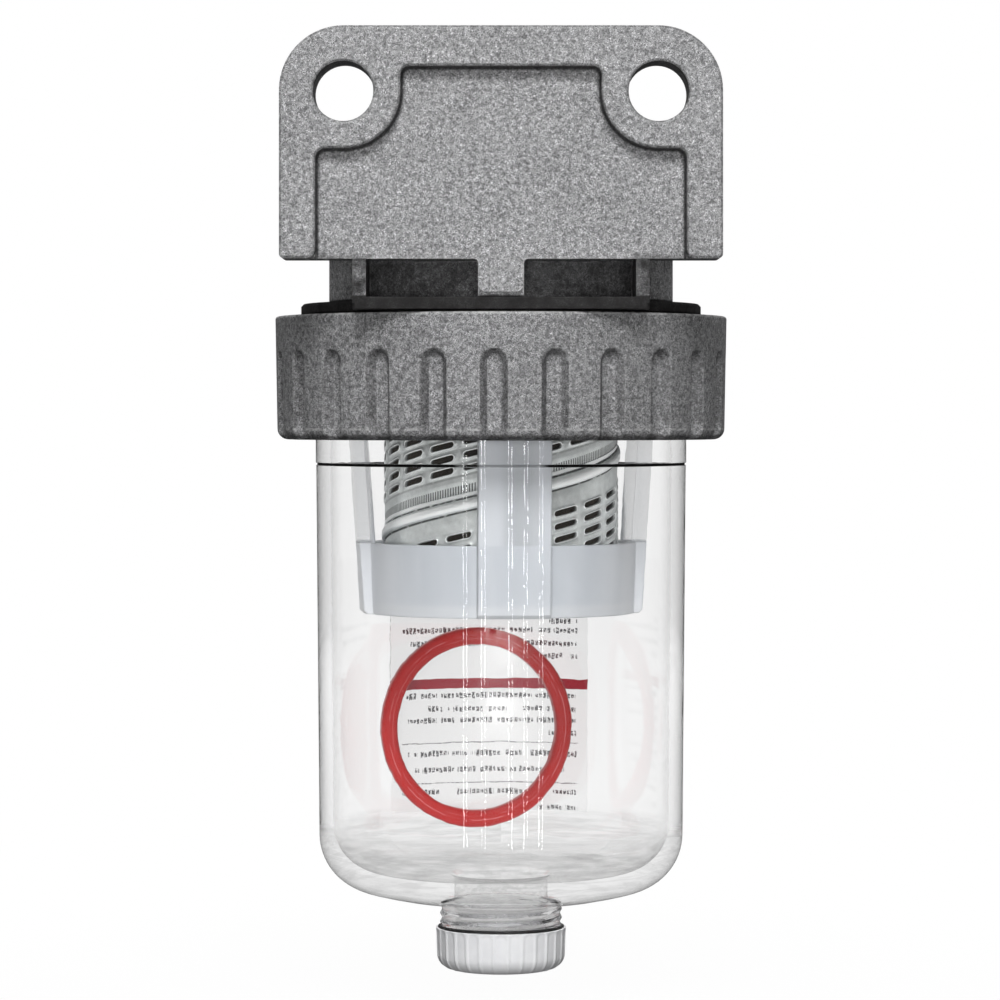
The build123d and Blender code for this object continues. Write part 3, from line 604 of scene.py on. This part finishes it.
# %% Label film
mark_rows = (  # level, left end, right end
    (-105.1, 11.0, 17.7), (-107.1, -23.7, 17.7), (-109.9, -21.5, 17.7), (-112.5, 8.0, 17.7),
    (-120.9, -22.5, 17.5), (-123.7, -17.0, 17.5), (-126.1, -22.2, 17.5), (-128.8, 11.0, 17.5),
    (-133.1, -22.4, 17.7), (-136.5, -20.5, 14.5), (-141.2, -24.0, 17.5), (-144.5, 8.3, 17.5),
)
bar_span = (-119.4, -117.3)
rule_levels = (-130.8, -139.3)
label_r = 37.2
stroke_pitch = 0.95


def label_finish():
    """Half clear white film with a crimson bar, thin rules and rows of short dark strokes."""
    skin = Finish("label_film")
    z, across = skin.z, skin.sum("ARCTAN2", skin.x, skin.y) * label_r
    rules = sum(z.band(level - 0.11, level + 0.11, 0.08) for level in rule_levels)
    ink = rules * across.band(-24.0, 18.0, 0.1) * 0.75
    ink += across.band(-27.3, -27.14, 0.05) * z.climb(-119.0, -118.0) * 0.45
    stroke = skin.sum("FLOOR", across / stroke_pitch)
    gap = skin.sum("PINGPONG", across / stroke_pitch, 0.5).climb(0.10, 0.18)
    dice = skin.noise(0.37, detail=0, place=skin.vector(stroke, skin.sum("FLOOR", z / 1.9), 0.5))
    half_height = dice.climb(0.35, 0.65) * 0.25 + 0.36
    for level, left, right in mark_rows:
        row = (abs(z - level) - half_height).climb(0.08, -0.08) * across.band(left, right, 0.2)
        runs = skin.noise(2.2, detail=1, place=skin.vector(across, level * 3.0)).climb(0.40, 0.43)
        ink += row * runs * gap
    hollow = skin.noise(0.38, detail=0, place=skin.vector(across, z)).climb(0.52, 0.58)
    ink = skin.sum("MINIMUM", ink, 1.0) * (0.97 - hollow * 0.75)
    bar = z.band(*bar_span, 0.1)
    paper = skin.mix(skin.noise(3.0, detail=3), 0.80, 0.86)
    colour = skin.mix(bar, skin.mix(ink, paper, (0.03, 0.03, 0.035)), (0.50, 0.006, 0.03))
    return skin.painted(
        Base_Color=colour, Roughness=0.5, Specular_IOR_Level=0.3, Alpha=skin.most(ink, bar) * 0.85 + 0.13)


label_film = label_finish()
print("label rows:", len(mark_rows))

# %% [markdown]
# ### Metals of the element and the vent
# The element's tube and upper cap are galvanised sheet, greenish grey with a soft spangle. The spigot and
# the vent screw are turned steel, whose tool marks run round the axis, and the washer is copper.

# %% Sheet, turned steel, copper and paper
def galvanised_finish():
    """Galvanised sheet with a faint spangle."""
    skin = Finish("galvanised_steel")
    spangle = skin.node("ShaderNodeTexVoronoi", {"Vector": skin.place, "Scale": 0.6})
    shade, _, _ = skin.parts(spangle.outputs["Color"])
    haze = skin.noise(1.2, detail=4)
    tone = shade * 0.12 + haze * 0.25 + 0.38
    return skin.painted(
        Base_Color=skin.vector(tone * 0.97, tone, tone * 0.985), Metallic=0.85,
        Roughness=haze * 0.2 + 0.30, Normal=skin.bump(haze, 0.01))


def strip_finish():
    """Galvanised strip with a knurled band beside its seam, painted shade in the knurl, the seam's corners
    and the slot walls, and a painted highlight on raised rims.
    """
    skin = Finish("galvanised_strip")
    radius = skin.radius
    haze = skin.noise(1.2, detail=4)
    cloud = skin.noise(6.0, detail=3)
    climb = skin.angle * (seam_pitch / (2 * pi))
    rise = skin.sum("WRAP", skin.z - seam_level - climb, 29.3, -4.7)
    wave = skin.sum("PINGPONG", skin.angle * (264 / (2 * pi)), 0.5) * 2
    knurl = rise.band(2.35, 3.95, 0.15) * wave.climb(0.55, 0.3) * radius.climb(tube_r - 0.4, tube_r - 0.2)
    # Painted shade: the knurl's grooves, the seam's corners and the slot walls go dark.
    seam_shade = rise.band(-1.5, -1.15, 0.3) + rise.band(1.15, 1.5, 0.3) + rise.band(5.6, 6.0, 0.4) * 0.4
    bright = rise.band(1.55, 2.35, 0.2)
    # Painted highlight: the raised rims and the bead are lighter.
    raised_highlight = radius.climb(tube_r + 0.08, tube_r + 0.2)
    tone = haze * 0.4 + cloud * 0.45 + bright * 0.35 + raised_highlight * 0.4 + 0.36
    hole = radius.climb(tube_r - 0.05, tube_r - 0.45) * 0.8
    dark = skin.sum("MINIMUM", knurl * 0.85 + seam_shade * haze.climb(0.3, 0.5) + hole, 0.92)
    colour = skin.mix(dark, skin.vector(tone * 0.96, tone, tone * 0.99), (0.016, 0.018, 0.02))
    return skin.painted(
        Base_Color=colour, Metallic=0.55, Roughness=haze * 0.25 + 0.22,
        Normal=skin.bump(haze * 0.08 - knurl, 0.12))


def turned_finish(name, colour, roughness):
    """Metal with fine rings from the lathe."""
    skin = Finish(name)
    rings = skin.noise(0.25, place=skin.stretched((0.05, 0.05, 1)))
    shade = skin.mix(skin.noise(2.0, detail=3), tuple(0.8 * part for part in colour), colour)
    return skin.painted(
        Base_Color=shade, Metallic=1.0, Roughness=rings * 0.15 + roughness, Normal=skin.bump(rings, 0.01))


def paper_finish():
    """Resin-treated filter paper, coloured near black as painted shade inside the tube."""
    skin = Finish("filter_paper")
    fibre = skin.noise(0.5, detail=5, place=skin.stretched((1, 1, 0.2)))
    # Painted shade: the paper's colour is near black.
    colour = skin.mix(fibre, (0.03, 0.027, 0.022), (0.08, 0.07, 0.055))
    return skin.painted(Base_Color=colour, Roughness=0.85, Normal=skin.bump(fibre, 0.03))


galvanised_steel, galvanised_strip = galvanised_finish(), strip_finish()
turned_steel = turned_finish("turned_steel", (0.55, 0.55, 0.53), 0.25)
copper = turned_finish("copper", (0.72, 0.38, 0.22), 0.3)
filter_paper = paper_finish()
print("materials:", len(bpy.data.materials))

# %% [markdown]
# ## Ring nut
# The nut is a casting with 24 flutes for a strap wrench. Each has steep sides, a hollow floor and a round
# end, so the depth depends only on the distance from the flute's middle line, or from the middle of
# its end above that. A smooth step of that distance is full on the floor and nothing outside.

# %% Ring nut
flute_count = 24
flute_half = 2.8
flute_end = nut_top - 6.8 - flute_half
nut_foot_r, nut_pocket_r, nut_lip_r = 45.15, 40.3, 37.9
lip_top = nut_foot + 4.0
skirt_foot = -58.15


def fluted(graph, given, radius, height, angle):
    """Radius of a wall with grooves that have steep sides, a hollow floor and a round end."""
    step = 2 * pi / given["Flutes"]
    wall, half = given["Wall radius"], given["Half width"]
    off_middle = graph.sum("WRAP", angle - given["Turn"], step * 0.5, step * -0.5)
    across = graph.sum("SINE", off_middle) * wall
    reach = graph.distance(across, graph.most(height - given["End level"], 0.0))
    floor = 1 - reach.climb(half * given["Floor share"], half)
    hollow = 1 - reach * reach * 0.03
    return radius - given["Depth"] * floor * hollow * radius.climb(wall - 3.2, wall - 2.0)


nut_profile = rounded_line([
    (nut_lip_r, nut_foot), (nut_foot_r, nut_foot, 2.2), (nut_r, nut_top, 0.55), (nut_bore_r, nut_top),
    (nut_bore_r, skirt_foot), (nut_pocket_r, skirt_foot), (nut_pocket_r, lip_top),
    (nut_lip_r, lip_top), (nut_lip_r, nut_foot)], step=0.5)
ring_nut = turned("ring_nut_cast", nut_profile, flute_count * 26, nut_metal, {
    "Flutes": flute_count, "Turn": radians(-1.7), "Wall radius": nut_r, "Half width": flute_half,
    "End level": flute_end, "Floor share": 0.5, "Depth": 2.0,
}, fluted)
stands_for(ring_nut, "collar", "ring_nut")

# %% [markdown]
# ## Bowl
# The bowl is one moulding: a clamped flange under the nut, a fine moulding groove painted dark as shade, a
# wall that
# tapers to a large corner, a domed bottom and a threaded neck. The thread is a rule on the radius:
# it rises and falls once for each pitch of height and follows the angle, which makes it climb.

# %% Bowl
flange_r, flange_foot = 40.0, lip_top + 0.05
upper_r, groove_r, lower_r = 37.46, 37.16, 37.36
line_foot = line_top - 0.5
wall_foot_r, break_r = 36.62, 22.4
inner_r, inner_foot_r = 34.66, 33.82
neck_r, neck_core_r = 12.1, 11.6
neck_plain_foot = bowl_foot - 0.8
neck_step = bowl_foot - 5.8
mouth_bevel = 0.9


def threaded(graph, given, radius, height, angle):
    """Radius with a thread between two levels, on walls beyond a given radius."""
    foot, top, least, greatest = (given[label] for label in ("Foot", "Top", "Least radius", "Most radius"))
    turns = height / given["Pitch"] - angle / (2 * pi)
    wave = graph.sum("PINGPONG", turns, 0.5) * 4 - 1
    crest = graph.sum("SMOOTH_MAX", wave, -0.55, 0.5)
    reach = height.climb(foot, foot + 0.6) * height.climb(top, top - 0.5)
    on_wall = radius.climb(least, least + 0.1) * radius.climb(greatest + 0.2, greatest)
    return radius + crest * reach * on_wall * given["Depth"]


break_level = bowl_foot + (break_r - neck_r) * tan(radians(7))
wall_level = break_level + (wall_foot_r - break_r) * tan(radians(14))
floor_edge = bowl_floor + (inner_foot_r - neck_bore_r - mouth_bevel) * tan(radians(3))
outside_line = rounded_line([
    (flange_r, bowl_rim), (flange_r, flange_foot), (upper_r, flange_foot, 0.3), (upper_r, line_top, 0.1),
    (groove_r, line_top - 0.05), (groove_r, line_foot + 0.05), (lower_r, line_foot, 0.05),
    (wall_foot_r, wall_level, 11.5), (break_r, break_level, 60), (neck_r, bowl_foot, 0.5),
    (neck_r, neck_plain_foot)], step=2.5, arc_step=5)
neck_line = rounded_line([
    (neck_r, neck_plain_foot), (neck_r, neck_step), (neck_core_r, neck_step),
    (neck_core_r, neck_foot), (neck_bore_r, neck_foot)], step=0.16)
inside_line = rounded_line([
    (neck_bore_r, neck_foot), (neck_bore_r, bowl_floor - mouth_bevel, 0.3),
    (neck_bore_r + mouth_bevel, bowl_floor, 0.3), (inner_foot_r, floor_edge, 9.5), (inner_r, bowl_rim),
    (flange_r, bowl_rim)], step=2.5, arc_step=5)
bowl = turned("bowl_moulding", outside_line + neck_line[1:] + inside_line[1:], 384, clear_plastic, {
    "Pitch": 1.75, "Foot": neck_foot, "Top": bowl_foot - 0.6, "Depth": 0.26,
    "Least radius": neck_bore_r + 1.0, "Most radius": neck_r,
}, threaded)
bowl.visible_shadow = False
stands_for(bowl, "bowl_unit", "bowl")

# %% [markdown]
# ## Drain cap and its seal
# The cap has 28 shallow troughs that leave narrow ridges and stop short of its rim, by the rule of
# the nut's flutes. The black seal sits in the cap's mouth, a little askew, so that it shows in front.

# %% Drain cap and seal
cap_foot, cap_top = levels("drain_cap")
seal_foot, seal_top = levels("drain_seal")
cap_r, cap_foot_r, cap_mouth_r, cap_bore_r = 13.16, 12.9, 12.8, 11.75
seal_seat = seal_foot - 0.05
rib_count = 28
cap_profile = rounded_line([
    (0, cap_foot), (cap_foot_r, cap_foot, 3.1), (cap_r, cap_top, 0.15), (cap_mouth_r, cap_top),
    (cap_mouth_r, seal_seat), (cap_bore_r, seal_seat), (cap_bore_r, cap_foot + 2),
    (0, cap_foot + 2)], step=0.35)
drain_cap = turned("drain_cap_moulding", cap_profile, rib_count * 14, white_plastic, {
    "Flutes": rib_count, "Turn": 0.0, "Wall radius": cap_r, "Half width": 1.35, "End level": cap_top - 1.2,
    "Floor share": 0.7, "Depth": 0.19,
}, fluted)
stands_for(drain_cap, "drain_knob", "drain_cap")

seal_r, seal_bore_r, seal_low = 12.75, 12.15, seal_foot + 0.4
seal_profile = rounded_line([
    (seal_bore_r, seal_low), (seal_r, seal_low, 0.1), (seal_r, seal_top, 0.25),
    (seal_bore_r, seal_top, 0.1), (seal_bore_r, seal_low)], step=0.4)
drain_seal = turned("drain_seal_rubber", seal_profile, 120, black_rubber)
seal_middle = Matrix.Translation(Vector((0, bowl_axis.y, seal_top)) * mm)
drain_seal.data.transform(seal_middle @ Matrix.Rotation(radians(-1.6), 4, "X") @ seal_middle.inverted())
stands_for(drain_seal, "drain_ring", "drain_seal")

# %% [markdown]
# ## Float ring
# The ring is a flat moulding with rounded edges that stands against the bowl's far wall. It is turned
# flat about its own axis and then stood up, in the mesh, so that its object stays at the origin.

# %% Float ring
ring_r, ring_bore_r, ring_half = 20.8, 17.3, 1.8
ring_profile = rounded_line([
    (ring_r, 0), (ring_r, ring_half, 1.0), (ring_bore_r, ring_half, 1.0), (ring_bore_r, -ring_half, 1.0),
    (ring_r, -ring_half, 1.0), (ring_r, 0)], step=0.6)
float_ring = turned("float_ring_moulding", ring_profile, 240, red_plastic, centre=Vector((0, 0, 0)))
upright = Matrix.Rotation(ring_turn, 4, "Z") @ Matrix.Rotation(pi / 2, 4, "X")
float_ring.data.transform(Matrix.Translation(ring_centre) @ upright)
stands_for(float_ring, "bowl_unit", "float_ring")

# %% [markdown]
# ## Perforated tube
# Such a tube is made from endless strip. Rolls punch nine rows of slots, whose rims rise a little, and
# knurl a band beside the edge. The strip is wound into a spiral, its edges are folded into a raised
# lock seam, and the tube is cut to length. The script does the same: one repeat of the strip is a
# mesh, a tree lays the repeats in a row and winds them up, and two planes cut it.

# %% One repeat of the strip
tube_wall = 0.6
slot_rows = 9
first_row_rise = 7.2
row_step = 2.6
strip_step = 2 * pi * tube_r / 20.5
slot_half = 2.0
slot_rims = ((0.56, -tube_wall), (0.58, 0.14), (0.72, 0.22), (0.86, 0.12), (1.0, 0.0))  # end radius, rise
seam_line = [  # level, rise
    (5.9, 0), (5.0, 0.03), (4.05, 0.03), (3.95, -0.02), (2.4, -0.02), (2.3, 0.12), (1.7, 0.14),
    (1.5, -0.1), (1.2, -0.12), (1.1, 0.2), (0.95, 0.45), (0.6, 0.64), (0, 0.7), (-0.6, 0.64),
    (-0.95, 0.45), (-1.12, 0.15), (-1.25, -0.1), (-1.5, -0.06), (-1.8, 0.03), (-3.2, 0.05), (-4.7, 0),
]
seam_columns = 8


def round_four(quarter):
    """Closed ring of points from the quarter between its right and its top."""
    back = quarter[:0:-1]
    far = [(-x, -y) for x, y in quarter[:-1]]
    return quarter[:-1] + [(-x, y) for x, y in back] + far + [(x, -y) for x, y in back]


def slot_quarter(half, end_r):
    """The quarter of a slot's outline: an arc at the end, then the straight side."""
    arc = [(half + end_r * cos(radians(turn)), end_r * sin(radians(turn))) for turn in (0, 22.5, 45, 75)]
    return arc + [(half * share, end_r) for share in (0.75, 0.4, 0.0)]


def tile_quarter(width, height):
    """The quarter of a tile's outline, with as many points as a slot's."""
    side = [(width, height * share) for share in (0.0, 0.5, 1.0)]
    return side + [(width * share, height) for share in (0.75, 0.5, 0.25, 0.0)]


def strip_repeat():
    """Mesh of one repeat: nine tiles with a slot each, and the seam band under them."""
    places, faces = [], []
    edge = round_four(tile_quarter(strip_step / 2, row_step / 2))
    rims = [(round_four(slot_quarter(slot_half, end_r)), out) for end_r, out in slot_rims]
    rings, count = [(edge, -tube_wall), *rims, (edge, 0.0)], len(edge)
    for row in range(slot_rows):
        first, level = len(places), first_row_rise + row * row_step
        for ring, out in rings:
            places += [(x, out, level + z) for x, z in ring]
        for start in range(first, len(places) - count, count):
            for index in range(count):
                here, ahead = start + index, start + (index + 1) % count
                faces.append((here, ahead, ahead + count, here + count))
    for line in (seam_line, [(level, -tube_wall) for level, _ in seam_line]):
        first = len(places)
        for level, out in line:
            places += [(strip_step * (column / seam_columns - 0.5), out, level)
                       for column in range(seam_columns + 1)]
        for row in range(len(line) - 1):
            for column in range(seam_columns):
                here = first + row * (seam_columns + 1) + column
                faces.append((here, here + 1, here + seam_columns + 2, here + seam_columns + 1))
    mesh = bpy.data.meshes.new("strip_repeat")
    mesh.from_pydata(places, [], faces)
    print("one repeat of the strip:", len(faces), "faces")
    return mesh


# %% Wound and cut to length
def wound(graph, given):
    """Repeats in a row, wound into a spiral. Under the end cap rims and seam are pressed flat."""
    row = graph.node("GeometryNodeMeshLine", {
        "Count": given["Repeats"], "Offset": graph.vector(given["Step"]),
        "Start Location": graph.vector(given["Step"] * given["First"] + given["Turn"])}, mode="OFFSET")
    copies = graph.node("GeometryNodeInstanceOnPoints", {"Points": row, "Instance": given["Base"]})
    strip = graph.node("GeometryNodeRealizeInstances", {0: copies})
    along, out, up = graph.parts(graph.node("GeometryNodeInputPosition"))
    angle = along / given["Radius"]
    height = up + angle * given["Pitch"] / (2 * pi) + given["Seam level"]
    free = height.climb(given["Cap level"], given["Cap level"] - 0.6)
    radius = given["Radius"] + graph.sum("MINIMUM", out, free * 2)
    return wrapped(graph, strip, radius, height, angle, merged=2e-6)


def cut_to_length(piece, foot, top):
    """Cuts a wound tube square at both ends, and closes the sheet where it was cut."""
    form = bmesh.new()
    form.from_mesh(piece.data)
    for level, side in ((foot, -1), (top, 1)):
        whole = form.verts[:] + form.edges[:] + form.faces[:]
        cut = bmesh.ops.bisect_plane(form, geom=whole, dist=1e-7, plane_co=(0, 0, level * mm),
                                     plane_no=(0, 0, side), clear_outer=True)
        edges = [part for part in cut["geom_cut"] if isinstance(part, bmesh.types.BMEdge)]
        bmesh.ops.triangle_fill(form, use_beauty=True, edges=edges)
    form.to_mesh(piece.data)
    form.free()


tube = grown("perforated_strip_tube", strip_repeat(), {
    "Repeats": 56, "First": -26.0, "Step": strip_step, "Turn": radians(6.0) * tube_r, "Radius": tube_r,
    "Pitch": seam_pitch, "Seam level": seam_level, "Cap level": tube_top - 5.1,
}, wound, galvanised_strip)
cut_to_length(tube, tube_foot, tube_top)
settle(tube, 50)
stands_for(tube, "head", "perforated_tube")
loose = sum(edge.is_loose for edge in tube.data.edges)
print("tube:", len(tube.data.polygons), "faces, loose edges:", loose)

# %% [markdown]
# ## Carried-over pieces
# The head, the cage, the label and what is inside keep their CAD form, and take a finish here.

# %% Finishes of the CAD nodes
cad_finishes = {
    "head_casting": cast_metal, "bowl_label": label_film, "pleated_media": filter_paper,
    "bowl_seal": black_rubber, "element_grommet": black_rubber, "baffle_cage": milky_plastic,
    "lower_end_cap": milky_plastic, "upper_end_cap": galvanised_steel, "inner_core": galvanised_steel,
    "outlet_spigot": turned_steel, "bleed_screw": turned_steel, "bleed_washer": copper,
}
for node, material in cad_finishes.items():
    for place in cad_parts[node].material_slots:
        place.material = material
print("dressed nodes:", len(cad_finishes))

# %% [markdown]
# ## Studio
# The camera stands where the photograph's did: level, a little above the middle of the bowl, 760 mm
# from its axis. The frame is shifted down, because the horizon lies above its middle.

# %% Camera
camera_distance = 0.760
camera_level = -0.0616
focal_pixels = 3753
frame_pixels = 1000
camera_data = bpy.data.cameras.new("camera")
camera_data.sensor_width = 36
camera_data.lens = focal_pixels / frame_pixels * camera_data.sensor_width
camera_data.shift_x = -0.001
camera_data.shift_y = -0.085
camera_data.clip_start = 0.01
camera = linked("camera", camera_data)
camera.location = (0, bowl_axis.y * mm - camera_distance, camera_level)
camera.rotation_euler = (pi / 2, 0, 0)
bpy.context.scene.camera = camera
print("lens", round(camera_data.lens, 1), "mm")

# %% [markdown]
# ### Lamps, world and floor
# A key lamp above and a fill lamp light the front, and two lamps behind light the back. The world is
# dim, but camera rays and rays through the bowl see it white, and the floor too. A mirrored ray keeps
# less of that white, least where it goes forward: the room behind a camera is dark, and that draws
# the bowl's grey outlines. Both read the kind of ray, so no lamp sampling may aim at them.

# %% Lamps, world and floor
lamp_aim = Vector((0, 0.03, -0.06))
lamps = (  # name, place, size, watts, seen in mirrored rays
    ("key_lamp", (0, -0.95, 0.75), (0.5, 0.4), 9.4, True),
    ("fill_lamp", (0, -1.15, -0.10), (0.4, 0.3), 7.4, False),
    *(("rear_lamp", (side, 1.2, 0.45), (0.4, 0.4), 12.0, False) for side in (-0.55, 0.55)),
)
for name, place, size, power, mirrored in lamps:
    lamp_data = bpy.data.lights.new(name, "AREA")
    lamp_data.shape = "RECTANGLE"
    lamp_data.size, lamp_data.size_y = size
    lamp_data.energy = power
    lamp = linked(name, lamp_data)
    lamp.location = place
    lamp.rotation_euler = (lamp_aim - Vector(place)).to_track_quat("-Z", "Y").to_euler()
    lamp.visible_transmission = False
    lamp.visible_glossy = mirrored


def white_kept(graph, path, front, low=1.0):
    """Share of the white that a ray still sees after a mirroring surface."""
    return 1 - Value(graph, path["Glossy Depth"]).climb(0, 1) * low * (front * 0.75 + 0.15)


def studio_world():
    """Even dim light, white for camera and glass rays, with a white ceiling for mirrored ones."""
    world = bpy.data.worlds.new("studio")
    graph = Graph(emptied(world))
    path = graph.node("ShaderNodeLightPath").outputs
    through = graph.sum("GREATER_THAN", path["Transmission Depth"], 0.5)
    _, forward, upward = graph.parts(graph.node("ShaderNodeTexCoord").outputs["Generated"])
    seen = graph.sum("LESS_THAN", path["Diffuse Depth"], 0.5) * graph.most(path["Is Camera Ray"], through)
    seen *= white_kept(graph, path, forward.climb(0.25, -0.35), upward.climb(0.9, 0.5))
    dim, white = (
        graph.node("ShaderNodeBackground", {"Color": 1.0, "Strength": level}) for level in (0.09, 1.0))
    graph.node("ShaderNodeOutputWorld", {"Surface": graph.blend(seen, dim, white)})
    world.cycles.sampling_method = "NONE"
    bpy.context.scene.world = world


def floor_finish():
    """Pale floor with a soft shadow near the unit, white further out to camera and glass rays."""
    skin = Finish("pale_floor")
    path = skin.node("ShaderNodeLightPath").outputs
    seen = skin.most(path["Is Camera Ray"], path["Is Transmission Ray"])
    seen *= skin.sum("LESS_THAN", path["Diffuse Depth"], 0.5)
    seen *= white_kept(skin, path, skin.y.climb(60, -60))
    share = skin.radius.climb(60, 420) * 0.08 + 0.92
    colour = skin.mix(skin.noise(60.0), 0.90, 0.93)
    pale = skin.surface(Base_Color=colour, Roughness=0.8, Specular_IOR_Level=0.0)
    return skin.done(skin.blend(seen * share, pale, skin.glow(1.0, 1.0)))


def staged(name, places, faces, material, *unseen_by):
    """Mesh that belongs to the studio, which some kinds of ray don't see."""
    mesh = bpy.data.meshes.new(name)
    mesh.from_pydata(places, [], faces)
    mesh.materials.append(material)
    piece = linked(name, mesh)
    for ray_kind in unseen_by:
        setattr(piece, "visible_" + ray_kind, False)


# %% [markdown]
# Five pairs of upright strips of small lamps stand close in front. Only the bowl's polish shows them,
# as dotted lines. A wall whose face points at angle a from the camera mirrors what lies at twice that
# angle, so each strip's place follows from the place of its line.

# %% Strips of small lamps
lamp_distance = 0.2
line_angles = (-10.8, -5.3, 2.8, 7.4, 12.0)
line_spread = 0.5
line_head, line_end = -62.0, -150.0
mirror_r = 37.4


def mirrored_place(turn, level):
    """Where the camera's ray ends that meets the bowl's wall at that angle and level."""
    out = Vector((sin(turn), -cos(turn), 0))
    spot = out * mirror_r * mm + Vector((0, bowl_axis.y * mm, level * mm))
    ray = (spot - camera.location).normalized()
    back = ray - 2 * ray.dot(out) * out
    return spot + back * lamp_distance, out


def lamp_quads():
    """Corners and faces of small quads that stand in pairs of broken lines."""
    places, faces = [], []
    dice = Random(7)
    for turn in (radians(line + side) for line in line_angles for side in (-line_spread, line_spread)):
        level = line_head
        while level > line_end:
            tall = dice.choice((0.4, 0.6, 0.8, 1.2, 2.0, 3.0))
            wide = dice.uniform(0.5, 0.85) * mm
            if dice.random() < 0.85:
                first = len(places)
                for end in (level, level - tall):
                    middle, out = mirrored_place(turn, end)
                    across = out.cross(Vector((0, 0, 1))) * wide
                    places += [middle - across, middle + across]
                faces.append((first, first + 1, first + 3, first + 2))
            level -= tall + dice.uniform(0.2, 0.5)
    return places, faces


def lamp_finish():
    """Bright lamps, some weaker than others."""
    skin = Finish("lamp_glow")
    level = skin.noise(3.0, detail=1).climb(0.3, 0.6) * 0.5 + 0.5
    return skin.done(skin.glow(level, 24.0))


strip_places, strip_faces = lamp_quads()
print("lamp quads:", len(strip_faces))

# %% [markdown]
# The unit hangs from its plate. Its cap comes 18.75 mm lower when it is undone and the bowl is let
# down, and the floor lies below that.

# %% The stage
floor_level = cad_low.z - 0.0195
floor_corners = [(x, y, floor_level) for x, y in ((-6, -6), (6, -6), (6, 6), (-6, 6))]
staged("lamp_strips", strip_places, strip_faces, lamp_finish(),
       "camera", "diffuse", "transmission", "shadow", "volume_scatter")
studio_world()
staged("floor", floor_corners, [(0, 1, 2, 3)], floor_finish(), "diffuse", "glossy")
view_settings = bpy.context.scene.view_settings
view_settings.view_transform = "Standard"
print("view transform:", view_settings.view_transform)
